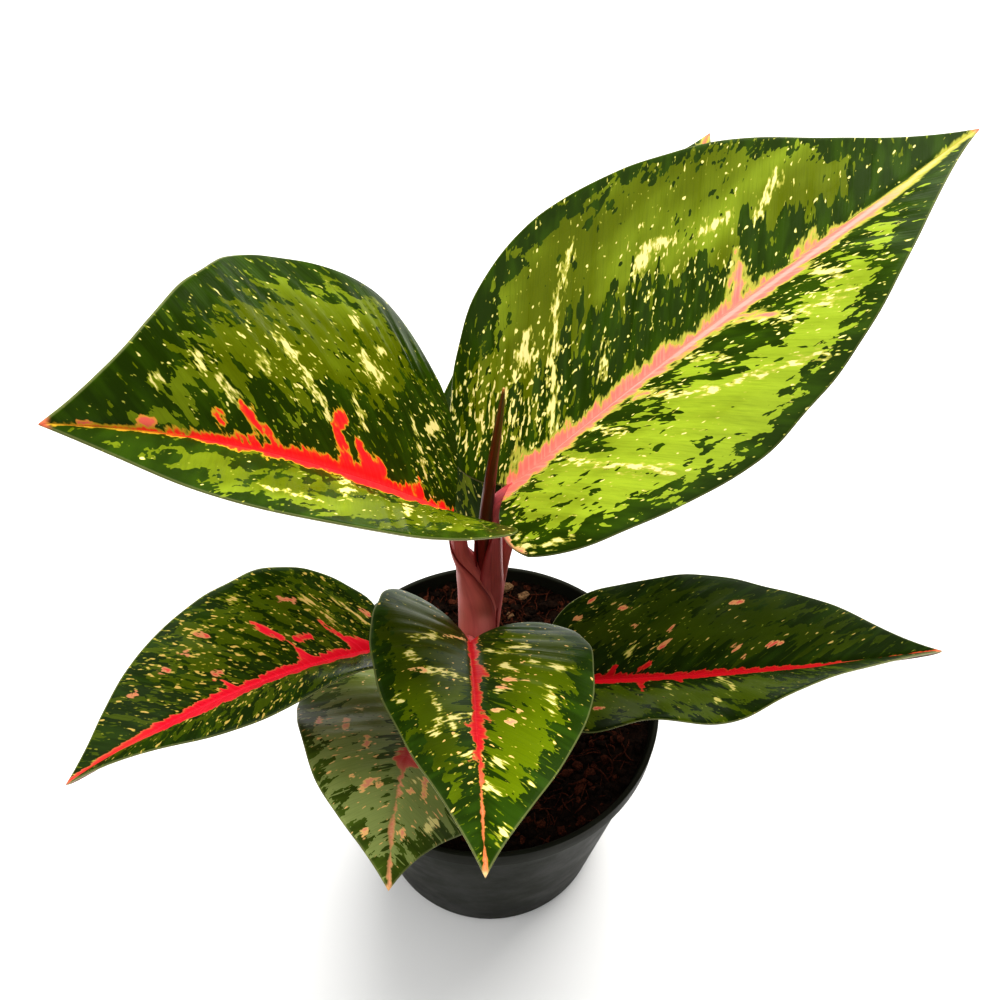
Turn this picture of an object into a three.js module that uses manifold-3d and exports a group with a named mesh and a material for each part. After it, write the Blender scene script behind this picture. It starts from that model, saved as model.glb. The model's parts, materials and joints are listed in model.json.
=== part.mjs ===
// A potted Chinese evergreen with seven red-veined leaves, built as separate solids.
// Millimetres, +Z up. The origin is the middle of the pot's flat underside.
import * as THREE from 'three';
import { mergeVertices } from 'three/addons/utils/BufferGeometryUtils.js';
import Module from 'manifold-3d';

const wasm = await Module();
wasm.setup();

// Driving sizes of the pot and its filling
const POT_HEIGHT = 90;
const POT_RIM_RADIUS = 60;
const POT_BASE_RADIUS = 42;
const POT_WALL = 1.3;
const POT_FLOOR = 1.5;
const RIM_WALL = 1.8;
const COLLAR_HEIGHT = 8;
const COLLAR_STEP = 1.8;
const COLLAR_FLARE = 0.6;
const RIM_ROUND = 0.5;
const FOOT_ROUND = 1;
const POT_SIDES = 64;
const DRAIN_COUNT = 8;
const DRAIN_RADIUS = 4;
const DRAIN_CIRCLE = 31;
const DRAIN_SIDES = 16;
const SOIL_TOP = 85;
const SOIL_RINGS = 12;
// Ripples of the potting mix: height, angle per millimetre and shift
const COARSE_RIPPLE = { rise: 0.84, x: 0.21, y: 0.17, shiftX: 1.3, shiftY: -0.4 };
const FINE_RIPPLE = { rise: 0.56, x: 0.53, y: 0.31, cross: 0.47, shift: 2 };

// Clearance kept between pieces that touch on the real plant
const GAP = 0.3;

// The short cane that the leaf stalks grow from
const CANE = { x: -4, y: 0, radius: 5.5, foot: 60, top: 102, chamfer: 1, sides: 20 };
const LEAF_SCARS = { heights: [88.5, 96.5], halfHeight: 1, rise: 0.5 };

// Leaf tissue
const BLADE_THICKNESS = 0.8;
const MARGIN_THICKNESS = 0.66;
const RIB_DEPTH = 3.2;
const RIB_TIP_DEPTH = 0.3;
const RIB_HALF_WIDTH = 2.2;
const RIB_NARROWING = 0.8;
const RIB_LARGEST_SHARE = 0.3;
const STALK_END_RADIUS = 2.1;
const STALK_SINK = 1.6;
const STALK_REACH = 1.4;
const STALK_STRAIGHT = 7;
const STALK_FLARE = 0.15;
const TUBE_SIDES = 12;
const STEPS_PER_SPAN = 3;
const NEW_LEAF_STEPS = 12;

// Blade mesh: rows follow the side veins, columns run from the midrib to the margin
const BLADE_ROWS = 22;
const BLADE_COLUMNS = [0.38, 0.7, 1];

// Half of the flat blade, as along / length and across / half width, from stalk to tip
const HALF_OUTLINE = [
  [0, 0], [-0.035, 0.16], [-0.052, 0.36], [-0.035, 0.58], [0.03, 0.78], [0.13, 0.92],
  [0.25, 0.985], [0.36, 1], [0.48, 0.955], [0.6, 0.83], [0.72, 0.63], [0.82, 0.4],
  [0.9, 0.205], [0.955, 0.085], [1, 0],
];
// How far a side vein runs forward on its way out, against the blade's length
const VEIN_LEAD = 0.17;
const VEIN_SPREAD = 0.1;
// The V of the blade opens by this share towards the tip
const FOLD_LOSS = 0.35;
// The stretch near the stalk, against the blade's length, that a leaf's taper narrows
const TAPER_REACH = 0.36;
// The midrib bends late along its length
const DROOP_POWER = 1.3;

// Each leaf, oldest last. base is where the blade joins its stalk; angles are in degrees.
// left and right are seen from above, looking from the stalk to the tip.
// halfWidth, fold, curl, wave, phase, lobe (scale of the basal lobe) and taper (share by
// which the blade narrows at the stalk) are [left, right].
// stalk lists x, y, z and radius of the stalk's centre line below the blade.
const LEAVES = [
  {
    name: 'upper_right', base: [6.7, 0.2, 199], length: 159, halfWidth: [61.5, 48.5],
    azimuth: 19, swerve: 7, pitch: 38.5, droop: 15.5, roll: -7, twist: -3,
    fold: [19, 24.5], curl: [-20, 45], wave: [1.8, 2], phase: [45, 70], waves: 1.35,
    lobe: [0.8, 0.4], taper: [0.2, 0],
    stalk: [
      [-2, 1.6, 102.3, 4], [-1.4, 1.2, 130, 4.2], [0.3, 0.6, 150, 4.6],
      [0.4, 0.2, 165, 4.4], [0.8, 0, 178, 3.9], [2.2, 0.1, 187, 2.8],
    ],
  },
  {
    name: 'upper_left', base: [-9.6, -5.5, 193], length: 157, halfWidth: [45.5, 55.5],
    azimuth: 225, swerve: 13, pitch: 53, droop: 12, roll: -21.5, twist: -30,
    fold: [37.5, 35], curl: [-20, 33], wave: [2.8, 4.9], phase: [107, -4], waves: 1.2,
    lobe: [1, 0.4], taper: [0.8, -0.1],
    stalk: [
      [-4.2, -1, 102.3, 5.7], [-3.4, -1.4, 130, 5.9], [-3.2, -1.6, 150, 5.8],
      [-4.6, -1.8, 161, 4.6], [-6, -2.2, 167.5, 3.4], [-8, -3.4, 176, 2.6],
    ],
  },
  {
    name: 'rear', base: [10, 12, 178], length: 137, halfWidth: [41, 41],
    azimuth: 55.5, swerve: 6.5, pitch: 36, droop: 16, roll: -7.5, twist: -3,
    fold: [19, 25], curl: [11, 8], wave: [2, 1], phase: [-24, 0], waves: 2.6,
    lobe: [1.1, 1.1], taper: [0, 0],
    stalk: [[-2, 4.6, 102.3, 4.4], [-0.5, 5, 125, 4.1], [2, 5, 148, 3.5], [5, 5.4, 164, 2.6]],
  },
  {
    name: 'front', base: [-5.3, -17.2, 147.3], length: 113.5, halfWidth: [33.2, 33.8],
    azimuth: 274.5, swerve: -2, pitch: 39, droop: 28.5, roll: -11, twist: 2.5,
    fold: [27.5, 39], curl: [9.5, 17.5], wave: [2, 3.2], phase: [-49, -3], waves: 1.2,
    lobe: [1.2, 1], taper: [0, 0],
    stalk: [[-2.5, -4, 99, 4.2], [-3, -8, 118, 3.2], [-4.6, -11, 133, 2.5]],
  },
  {
    name: 'lower_left', base: [-33.3, -24.5, 152.6], length: 100, halfWidth: [29.5, 31.5],
    azimuth: 221, swerve: 0, pitch: 32.5, droop: 34, roll: 7.5, twist: 6.5,
    fold: [50, 34.5], curl: [38.5, -4.5], wave: [3.4, 1.8], phase: [271, -31], waves: 1.4,
    lobe: [1.1, 1.5], taper: [0, 0],
    stalk: [[-8, 0, 94, 4], [-14, -3, 112, 3], [-22, -11.5, 132, 2.4]],
  },
  {
    name: 'lower_right', base: [25.5, -8.3, 113], length: 121, halfWidth: [38, 36],
    azimuth: -12, swerve: -1, pitch: 20, droop: -11, roll: -7.5, twist: -19.5,
    fold: [32, 35.5], curl: [12.5, 34.5], wave: [1, 3.4], phase: [155, 181], waves: 2.3,
    lobe: [1, 1.1], taper: [0, 0],
    stalk: [[0.5, -1.5, 91, 4], [8, -4, 99, 3], [15, -6.2, 106, 2.4]],
  },
  {
    name: 'front_left', base: [-14.7, -11.3, 110.7], length: 118, halfWidth: [34, 36],
    azimuth: 256, swerve: 17.5, pitch: 44.5, droop: 28, roll: -9.5, twist: 0,
    fold: [-4, 16], curl: [28, 15.5], wave: [4, 2.4], phase: [282, 244], waves: 2.6,
    lobe: [1.1, 1.1], taper: [0, 0],
    stalk: [[-5.5, -5.5, 89, 3.8], [-9.5, -7.5, 97.5, 2.8]],
  },
];

// The rolled new leaf, as x, y, z and radius of its centre line
const NEW_LEAF = [
  [-0.6, -1.2, 152, 2.4], [-0.8, -2, 176, 2.3], [0.2, -2.2, 194, 2], [2.2, -2.2, 214, 1.5],
  [4.2, -2.2, 231, 0.9], [5, -2, 239, 0.35],
];

const COLOURS = {
  pot: { color: 0x23282a, roughness: 0.42, metalness: 0 },
  soil: { color: 0x2c1c12, roughness: 0.95, metalness: 0 },
  cane: { color: 0x7c5a4a, roughness: 0.6, metalness: 0 },
  blade: { color: 0x4f7a1e, roughness: 0.34, metalness: 0 },
  stalk: { color: 0xb65a5e, roughness: 0.42, metalness: 0 },
  newLeaf: { color: 0x5c2a1c, roughness: 0.4, metalness: 0 },
};

const radians = THREE.MathUtils.degToRad;

function named(name, geometry, finish) {
  const mesh = new THREE.Mesh(geometry, new THREE.MeshStandardMaterial(COLOURS[finish]));
  mesh.name = name;
  return mesh;
}

// Solids for cutting
function toSolid(geometry) {
  const bare = geometry.clone();
  bare.deleteAttribute('normal');
  bare.deleteAttribute('uv');
  const merged = mergeVertices(bare, 1e-4);
  return new wasm.Manifold(new wasm.Mesh({
    numProp: 3,
    vertProperties: new Float32Array(merged.attributes.position.array),
    triVerts: new Uint32Array(merged.index.array),
  }));
}

function toGeometry(solid) {
  const mesh = solid.getMesh();
  const geometry = new THREE.BufferGeometry();
  geometry.setAttribute('position', new THREE.BufferAttribute(mesh.vertProperties, 3));
  geometry.setIndex(new THREE.BufferAttribute(mesh.triVerts, 1));
  geometry.computeVertexNormals();
  return geometry;
}

// Cuts every tool out of a body and keeps the largest piece that is left
function carve(body, tools) {
  let solid = body;
  for (const tool of tools) solid = solid.subtract(tool);
  const pieces = solid.decompose();
  return pieces.reduce((best, piece) => (piece.volume() > best.volume() ? piece : best));
}

// A closed solid of rings round a centre line given as x, y, z and radius
function taperedTube(line, steps, grow = 0) {
  const sides = TUBE_SIDES;
  const curve = new THREE.CatmullRomCurve3(line.map(([x, y, z]) => new THREE.Vector3(x, y, z)));
  const radii = new THREE.CatmullRomCurve3(line.map((point) => new THREE.Vector3(point[3], 0, 0)));
  const positions = [];
  const indices = [];
  for (let i = 0; i <= steps; i += 1) {
    const t = i / steps;
    const centre = curve.getPoint(t);
    const along = curve.getTangent(t);
    if (i === 0) centre.addScaledVector(along, -grow);
    if (i === steps) centre.addScaledVector(along, grow);
    const side = new THREE.Vector3(0, 1, 0).cross(along).normalize();
    const front = along.clone().cross(side);
    const radius = radii.getPoint(t).x + grow;
    for (let j = 0; j < sides; j += 1) {
      const turn = (2 * Math.PI * j) / sides;
      const point = centre.clone();
      point.addScaledVector(side, radius * Math.cos(turn));
      point.addScaledVector(front, radius * Math.sin(turn));
      positions.push(point.x, point.y, point.z);
    }
  }
  for (let i = 0; i < steps; i += 1) {
    for (let j = 0; j < sides; j += 1) {
      const a = i * sides + j;
      const b = i * sides + ((j + 1) % sides);
      indices.push(a, b, b + sides, a, b + sides, a + sides);
    }
  }
  for (let j = 1; j < sides - 1; j += 1) {
    const last = steps * sides;
    indices.push(0, j + 1, j, last, last + j, last + j + 1);
  }
  const geometry = new THREE.BufferGeometry();
  geometry.setAttribute('position', new THREE.Float32BufferAttribute(positions, 3));
  geometry.setIndex(indices);
  return geometry;
}

// Blade surface

// The frame of the midrib at a share of its length: point, forward, left and up
function midribFrames(leaf) {
  const behind = 40;
  const ahead = 200;
  const step = 1 / ahead;
  const frames = [];
  const turnAt = (share) => {
    const t = Math.max(share, 0);
    const pitch = radians(leaf.pitch - leaf.droop * t ** DROOP_POWER);
    const azimuth = radians(leaf.azimuth + leaf.swerve * t);
    const forward = new THREE.Vector3(
      Math.cos(pitch) * Math.cos(azimuth),
      Math.cos(pitch) * Math.sin(azimuth),
      Math.sin(pitch),
    );
    const level = new THREE.Vector3(-Math.sin(azimuth), Math.cos(azimuth), 0);
    const roll = radians(leaf.roll + leaf.twist * t);
    const left = level.clone().applyAxisAngle(forward, roll);
    return { forward, left, up: forward.clone().cross(left) };
  };
  const walk = (count, direction) => {
    const point = new THREE.Vector3(...leaf.base);
    for (let i = 1; i <= count; i += 1) {
      const here = turnAt(direction * (i - 0.5) * step);
      point.addScaledVector(here.forward, direction * step * leaf.length);
      frames[behind + direction * i] = { point: point.clone(), ...turnAt(direction * i * step) };
    }
  };
  frames[behind] = { point: new THREE.Vector3(...leaf.base), ...turnAt(0) };
  walk(behind, -1);
  walk(ahead, 1);
  return (share) => {
    const place = THREE.MathUtils.clamp(share * ahead + behind, 0, frames.length - 1.001);
    const low = frames[Math.floor(place)];
    const high = frames[Math.floor(place) + 1];
    const mix = place - Math.floor(place);
    return {
      point: low.point.clone().lerp(high.point, mix),
      forward: low.forward.clone().lerp(high.forward, mix).normalize(),
      left: low.left.clone().lerp(high.left, mix).normalize(),
      up: low.up.clone().lerp(high.up, mix).normalize(),
    };
  };
}

// The point and the upward normal of the blade at along / length and across / half width
function bladePoint(leaf, frameAt, along, across) {
  const side = across < 0 ? 1 : 0;
  const sign = across < 0 ? -1 : 1;
  const reach = Math.abs(across);
  const frame = frameAt(along);
  const t = THREE.MathUtils.clamp(along, 0, 1);
  const fold = radians(leaf.fold[side]) * (1 - FOLD_LOSS * t);
  const curl = radians(leaf.curl[side]);
  const slope = fold - curl * reach;
  const out = (Math.sin(fold) - Math.sin(slope)) / curl;
  const lift = (Math.cos(slope) - Math.cos(fold)) / curl;
  const swing = 2 * Math.PI * leaf.waves * along + radians(leaf.phase[side]);
  const wave = leaf.wave[side] * reach * reach * Math.sin(swing);
  const half = leaf.halfWidth[side];
  const point = frame.point.clone();
  point.addScaledVector(frame.left, sign * out * half);
  point.addScaledVector(frame.up, lift * half + wave);
  const normal = frame.up.clone();
  if (reach > 0) {
    normal.multiplyScalar(Math.cos(slope));
    normal.addScaledVector(frame.left, -sign * Math.sin(slope));
  }
  return { point, normal };
}

// A blade: two faces of the same grid, a keel under the midrib and a wall round the margin
function bladeGeometry(leaf) {
  const frameAt = midribFrames(leaf);
  const outline = new THREE.CatmullRomCurve3(
    HALF_OUTLINE.map(([along, across]) => new THREE.Vector3(along, across, 0)),
    false,
    'catmullrom',
  );
  const width = 2 * (BLADE_COLUMNS.length + 1) + 1;
  const middle = (width - 1) / 2;
  const positions = [];
  const top = [];
  const bottom = [];
  const addVertex = (at, offset) => {
    const vertex = at.point.clone().addScaledVector(at.normal, offset);
    positions.push(vertex.x, vertex.y, vertex.z);
    return positions.length / 3 - 1;
  };
  for (let row = 0; row <= BLADE_ROWS; row += 1) {
    const tau = row / BLADE_ROWS;
    const edge = outline.getPoint(tau);
    const start = Math.max(0, edge.x - VEIN_LEAD * edge.y) + VEIN_SPREAD * tau * (1 - tau);
    const ribDepth = RIB_TIP_DEPTH + RIB_DEPTH * Math.max(0, 1 - start);
    const single = row === 0 || row === BLADE_ROWS;
    const topRow = [];
    const bottomRow = [];
    for (let column = 0; column < width; column += 1) {
      const side = column < middle ? 1 : 0;
      const sign = side === 1 ? -1 : 1;
      const step = Math.abs(column - middle);
      const edgeAlong = edge.x < 0 ? edge.x * leaf.lobe[side] : edge.x;
      const narrowing = leaf.taper[side] * Math.max(0, 1 - edge.x / TAPER_REACH) ** 2;
      const edgeAcross = edge.y * (1 - narrowing);
      const rowLength = Math.hypot((edgeAlong - start) * leaf.length, edgeAcross * leaf.halfWidth[side]);
      const ribWidth = RIB_HALF_WIDTH * (1 - RIB_NARROWING * start);
      const ribShare = Math.min(RIB_LARGEST_SHARE, ribWidth / Math.max(rowLength, 1));
      const share = [0, ribShare, ...BLADE_COLUMNS][step];
      const along = single ? edge.x : start + (edgeAlong - start) * share;
      const across = single ? 0 : sign * edgeAcross * share;
      if (single && column > 0) {
        topRow.push(topRow[0]);
        bottomRow.push(bottomRow[0]);
      } else {
        const at = bladePoint(leaf, frameAt, along, across);
        const thickness = step === middle ? MARGIN_THICKNESS : BLADE_THICKNESS;
        const keel = step === 0 || single ? ribDepth : 0;
        topRow.push(addVertex(at, thickness / 2));
        bottomRow.push(addVertex(at, -thickness / 2 - keel));
      }
    }
    top.push(topRow);
    bottom.push(bottomRow);
  }
  const indices = [];
  const triangle = (a, b, c) => {
    if (a !== b && b !== c && c !== a) indices.push(a, b, c);
  };
  for (let row = 0; row < BLADE_ROWS; row += 1) {
    for (let column = 0; column < width - 1; column += 1) {
      const [t0, t1] = [top[row], top[row + 1]];
      const [b0, b1] = [bottom[row], bottom[row + 1]];
      triangle(t0[column], t1[column], t1[column + 1]);
      triangle(t0[column], t1[column + 1], t0[column + 1]);
      triangle(b0[column], b1[column + 1], b1[column]);
      triangle(b0[column], b0[column + 1], b1[column + 1]);
    }
    const [t0, t1, b0, b1] = [top[row], top[row + 1], bottom[row], bottom[row + 1]];
    const far = width - 1;
    triangle(t0[0], b0[0], b1[0]);
    triangle(t0[0], b1[0], t1[0]);
    triangle(t0[far], b1[far], b0[far]);
    triangle(t0[far], t1[far], b1[far]);
  }
  const geometry = new THREE.BufferGeometry();
  geometry.setAttribute('position', new THREE.Float32BufferAttribute(positions, 3));
  geometry.setIndex(indices);
  return geometry;
}

// A stalk's centre line, run up into the notch at the base of its blade
function stalkLine(leaf) {
  const frame = midribFrames(leaf)(0);
  const end = frame.point.clone().addScaledVector(frame.up, -STALK_SINK);
  end.addScaledVector(frame.forward, STALK_REACH);
  const before = end.clone().addScaledVector(frame.forward, -STALK_STRAIGHT);
  return [
    ...leaf.stalk,
    [...before.toArray(), STALK_END_RADIUS + STALK_FLARE],
    [...end.toArray(), STALK_END_RADIUS],
  ];
}

// Pot: a tapered tub with a collar under the rim and drain holes in its floor
function wallRadius(z) {
  const bodyTop = POT_RIM_RADIUS - COLLAR_STEP - COLLAR_FLARE;
  return THREE.MathUtils.mapLinear(z, 0, POT_HEIGHT - COLLAR_HEIGHT, POT_BASE_RADIUS, bodyTop);
}

function lathe(profile, segments) {
  const geometry = new THREE.LatheGeometry(profile.map(([r, z]) => new THREE.Vector2(r, z)), segments);
  return geometry.rotateX(Math.PI / 2);
}

function potGeometry() {
  const collar = POT_HEIGHT - COLLAR_HEIGHT;
  const inside = POT_FLOOR + FOOT_ROUND;
  const profile = [
    [0, 0],
    [POT_BASE_RADIUS - FOOT_ROUND, 0],
    [wallRadius(FOOT_ROUND), FOOT_ROUND],
    [wallRadius(collar - FOOT_ROUND), collar - FOOT_ROUND],
    [wallRadius(collar) + COLLAR_STEP, collar],
    [POT_RIM_RADIUS, POT_HEIGHT - RIM_ROUND],
    [POT_RIM_RADIUS - RIM_ROUND, POT_HEIGHT],
    [POT_RIM_RADIUS - RIM_WALL + RIM_ROUND, POT_HEIGHT],
    [POT_RIM_RADIUS - RIM_WALL, POT_HEIGHT - RIM_ROUND],
    [wallRadius(collar) - POT_WALL, collar],
    [wallRadius(inside) - POT_WALL, inside],
    [wallRadius(POT_FLOOR) - POT_WALL - FOOT_ROUND, POT_FLOOR],
    [0, POT_FLOOR],
  ];
  const tub = toSolid(lathe(profile, POT_SIDES));
  const drains = [];
  for (let i = 0; i < DRAIN_COUNT; i += 1) {
    const turn = (2 * Math.PI * (i + 0.5)) / DRAIN_COUNT;
    const drain = new THREE.CylinderGeometry(DRAIN_RADIUS, DRAIN_RADIUS, 4 * POT_FLOOR, DRAIN_SIDES);
    drain.rotateX(Math.PI / 2);
    drain.translate(DRAIN_CIRCLE * Math.cos(turn), DRAIN_CIRCLE * Math.sin(turn), 0);
    drains.push(toSolid(drain));
  }
  return toGeometry(carve(tub, drains));
}

// Crumbly top of the potting mix
function soilHeight(x, y) {
  const { rise, shiftX, shiftY } = COARSE_RIPPLE;
  const coarse = Math.sin(x * COARSE_RIPPLE.x + shiftX) * Math.cos(y * COARSE_RIPPLE.y + shiftY);
  const slant = Math.sin(x * FINE_RIPPLE.x - y * FINE_RIPPLE.y);
  const fine = slant * Math.sin(y * FINE_RIPPLE.cross + FINE_RIPPLE.shift);
  return SOIL_TOP + rise * coarse + FINE_RIPPLE.rise * fine;
}

function soilGeometry(hole) {
  const positions = [];
  const indices = [];
  const floor = POT_FLOOR + GAP;
  const shoulder = floor + FOOT_ROUND;
  const inner = (z) => wallRadius(z) - POT_WALL - GAP;
  const ring = (radius, height) => {
    for (let j = 0; j < POT_SIDES; j += 1) {
      const turn = (2 * Math.PI * j) / POT_SIDES;
      const x = radius * Math.sin(turn);
      const y = radius * Math.cos(turn);
      positions.push(x, y, height(x, y));
    }
  };
  ring(inner(floor) - FOOT_ROUND - GAP, () => floor);
  ring(inner(shoulder), () => shoulder);
  const soilRadius = inner(POT_HEIGHT - COLLAR_HEIGHT);
  for (let i = SOIL_RINGS; i >= 1; i -= 1) ring((soilRadius * i) / SOIL_RINGS, soilHeight);
  const ringCount = SOIL_RINGS + 2;
  for (let i = 0; i < ringCount - 1; i += 1) {
    for (let j = 0; j < POT_SIDES; j += 1) {
      const a = i * POT_SIDES + j;
      const b = i * POT_SIDES + ((j + 1) % POT_SIDES);
      indices.push(a, b + POT_SIDES, b, a, a + POT_SIDES, b + POT_SIDES);
    }
  }
  positions.push(0, 0, floor, 0, 0, soilHeight(0, 0));
  const floorCentre = positions.length / 3 - 2;
  const topCentre = floorCentre + 1;
  const lastRing = (ringCount - 1) * POT_SIDES;
  for (let j = 0; j < POT_SIDES; j += 1) {
    const next = (j + 1) % POT_SIDES;
    indices.push(floorCentre, j, next, topCentre, lastRing + next, lastRing + j);
  }
  const geometry = new THREE.BufferGeometry();
  geometry.setAttribute('position', new THREE.Float32BufferAttribute(positions, 3));
  geometry.setIndex(indices);
  return toGeometry(carve(toSolid(geometry), [hole]));
}

// Cane: a short jointed stem with two leaf scars showing above the mix
function caneGeometry(grow = 0) {
  const radius = CANE.radius + grow;
  const profile = [
    [0, CANE.foot - grow],
    [radius - CANE.chamfer, CANE.foot - grow],
    [radius, CANE.foot + CANE.chamfer],
  ];
  for (const height of LEAF_SCARS.heights) {
    profile.push([radius, height - LEAF_SCARS.halfHeight]);
    profile.push([radius + LEAF_SCARS.rise, height]);
    profile.push([radius, height + LEAF_SCARS.halfHeight]);
  }
  profile.push([radius, CANE.top + grow], [0, CANE.top + grow]);
  return lathe(profile, CANE.sides).translate(CANE.x, CANE.y, 0);
}

function buildPlant() {
  const plant = new THREE.Group();
  const caneCutter = toSolid(caneGeometry(GAP));
  plant.add(named('nursery_pot', potGeometry(), 'pot'));
  plant.add(named('potting_mix', soilGeometry(caneCutter), 'soil'));
  plant.add(named('cane', caneGeometry(), 'cane'));
  plant.add(named('new_leaf_roll', taperedTube(NEW_LEAF, NEW_LEAF_STEPS), 'newLeaf'));

  // Younger stalks keep their round section, and older ones are cut to wrap round them
  const cutters = [caneCutter, toSolid(taperedTube(NEW_LEAF, NEW_LEAF_STEPS, GAP))];
  const stalkCutters = [];
  for (const leaf of LEAVES) {
    const line = stalkLine(leaf);
    const steps = STEPS_PER_SPAN * (line.length - 1);
    const stalk = carve(toSolid(taperedTube(line, steps)), cutters);
    plant.add(named(`stalk_${leaf.name}`, toGeometry(stalk), 'stalk'));
    const cutter = toSolid(taperedTube(line, steps, GAP));
    cutters.push(cutter);
    stalkCutters.push(cutter);
  }
  LEAVES.forEach((leaf, i) => {
    const blade = carve(toSolid(bladeGeometry(leaf)), [stalkCutters[i]]);
    plant.add(named(`blade_${leaf.name}`, toGeometry(blade), 'blade'));
  });
  return plant;
}

export default buildPlant();
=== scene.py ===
"""A potted Chinese evergreen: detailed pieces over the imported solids, with procedural markings.

Sizes below are in millimetres and become metres when a mesh is made. The leaf, stalk, pot and
soil values are the same as in the part's source.
"""
import json
import math

import bpy
import numpy as np
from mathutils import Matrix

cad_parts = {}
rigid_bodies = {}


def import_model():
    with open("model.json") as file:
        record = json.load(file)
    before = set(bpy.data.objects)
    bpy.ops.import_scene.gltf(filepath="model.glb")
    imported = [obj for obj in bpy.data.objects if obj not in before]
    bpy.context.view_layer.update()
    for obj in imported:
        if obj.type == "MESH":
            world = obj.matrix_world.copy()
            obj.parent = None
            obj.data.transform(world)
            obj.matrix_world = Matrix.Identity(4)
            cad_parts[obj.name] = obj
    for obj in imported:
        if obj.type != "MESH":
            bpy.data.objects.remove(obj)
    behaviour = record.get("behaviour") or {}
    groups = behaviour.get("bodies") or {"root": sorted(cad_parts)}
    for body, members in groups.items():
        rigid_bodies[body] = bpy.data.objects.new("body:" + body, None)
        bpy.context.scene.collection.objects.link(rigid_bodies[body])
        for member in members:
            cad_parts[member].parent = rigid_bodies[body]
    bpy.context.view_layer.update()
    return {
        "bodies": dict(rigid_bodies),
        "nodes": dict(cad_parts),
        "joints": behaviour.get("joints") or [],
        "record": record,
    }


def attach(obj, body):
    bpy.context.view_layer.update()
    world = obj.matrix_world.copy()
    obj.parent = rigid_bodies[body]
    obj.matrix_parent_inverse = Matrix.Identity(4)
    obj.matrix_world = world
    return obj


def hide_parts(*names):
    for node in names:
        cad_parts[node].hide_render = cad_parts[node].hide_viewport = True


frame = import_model()

MM = 0.001
SEED = 7

# Pot, as in the source
POT_HEIGHT = 90
POT_RIM_RADIUS = 60
POT_BASE_RADIUS = 42
POT_WALL = 1.3
POT_FLOOR = 1.5
RIM_WALL = 1.8
COLLAR_HEIGHT = 8
COLLAR_STEP = 1.8
COLLAR_FLARE = 0.6
DRAIN_COUNT = 8
DRAIN_RADIUS = 4
DRAIN_CIRCLE = 31
# Pot's finer details: how far the foot stands outside the drain holes, the recess inside it, the
# rounding of the corners, the small caps on the axis and the heights between which drains are cut
FOOT_OFFSET = 7.5
FOOT_RECESS = 0.9
POT_ROUNDING = 0.7
AXIS_CAP = 0.5
DRAIN_CUT = (-4, 6)
SHARP_ANGLE = 38
POT_SEGMENTS, DRAIN_SIDES = 144, 28

# Potting mix: its ripples as in the source, then its rough surface and what lies on it
SOIL_TOP = 85
COARSE_RIPPLE = {"rise": 0.84, "x": 0.21, "y": 0.17, "shift_x": 1.3, "shift_y": -0.4}
FINE_RIPPLE = {"rise": 0.56, "x": 0.53, "y": 0.31, "cross": 0.47, "shift": 2}
SOIL_LIMIT = 88.2
SOIL_ROUGHNESS = 0.42
SOIL_RINGS, SOIL_SEGMENTS = 62, 168
WALL_BITE = 0.35
CRUMBS, FIBRES, CHIPS = 2100, 560, 46
CHIP_FLATNESS = 0.45
BIG_CHIP = {"place": (6.5, 52.5, SOIL_TOP + 1.2), "size": 2.9, "flatness": 0.5}

# Cane
CANE = {"x": -4, "y": 0, "radius": 5.5, "foot": 60, "top": 102}
LEAF_SCARS = (88.5, 96.5)
CAP_RADIUS = 0.3
CANE_STEPS, CANE_SIDES = 90, 48

# Leaf tissue
BLADE_THICKNESS = 0.8
RIB_DEPTH = 3.2
RIB_TIP_DEPTH = 0.3
STALK_END_RADIUS = 2.1
STALK_SINK = 1.6
STALK_REACH = 1.4
STALK_STRAIGHT = 7
STALK_FLARE = 0.15
STALK_STEPS, STALK_SIDES = 16, 28
SHEATH_STEPS, SHEATH_COLUMNS = 96, 22
SHEATH_THICKNESS = 0.55
ROLL_STEPS, ROLL_SIDES = 90, 40
HALF_OUTLINE = (
    (0, 0), (-0.035, 0.16), (-0.052, 0.36), (-0.035, 0.58), (0.03, 0.78), (0.13, 0.92),
    (0.25, 0.985), (0.36, 1), (0.48, 0.955), (0.6, 0.83), (0.72, 0.63), (0.82, 0.4),
    (0.9, 0.205), (0.955, 0.085), (1, 0),
)
VEIN_LEAD = 0.17
VEIN_SPREAD = 0.1
FOLD_LOSS = 0.35
TAPER_REACH = 0.36
DROOP_POWER = 1.3
# Steps of the midrib behind and ahead of the stalk, and a distance beyond any marking or wall
MIDRIB_STEPS = (40, 200)
FAR = 99.0
# Relief of the upper face, and how uneven the margin is
VEIN_SPACING = 7.5
QUILT_RISE = 0.20
GROOVE_DEPTH = 0.10
CHANNEL_DEPTH = 0.5
SHOULDER_RISE = 0.22
SWELL_RISE = 0.45
MARGIN_WOBBLE = 0.009
# Mesh of a blade: its density, its outermost columns, its rounded edge and its keel
ROWS_PER_MM, COLUMNS_PER_MM = 1.12, 0.72
LAST_COLUMN = 0.992
EDGE_ROUNDING = 0.6
KEEL_WIDTH = 3.0
KEEL_NARROWING = 0.7
# Texture coordinates: a corner on the midrib counts as this far off it, the right half's veins are
# moved this far from the left half's, and the bake keeps this share free round each face
OFF_RIB = 1e-6
RIGHT_SHIFT = 400
BAKE_EDGE = 0.01
# Width of the change from the left half's looks to the right half's
SIDE_BLEND = 6

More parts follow.
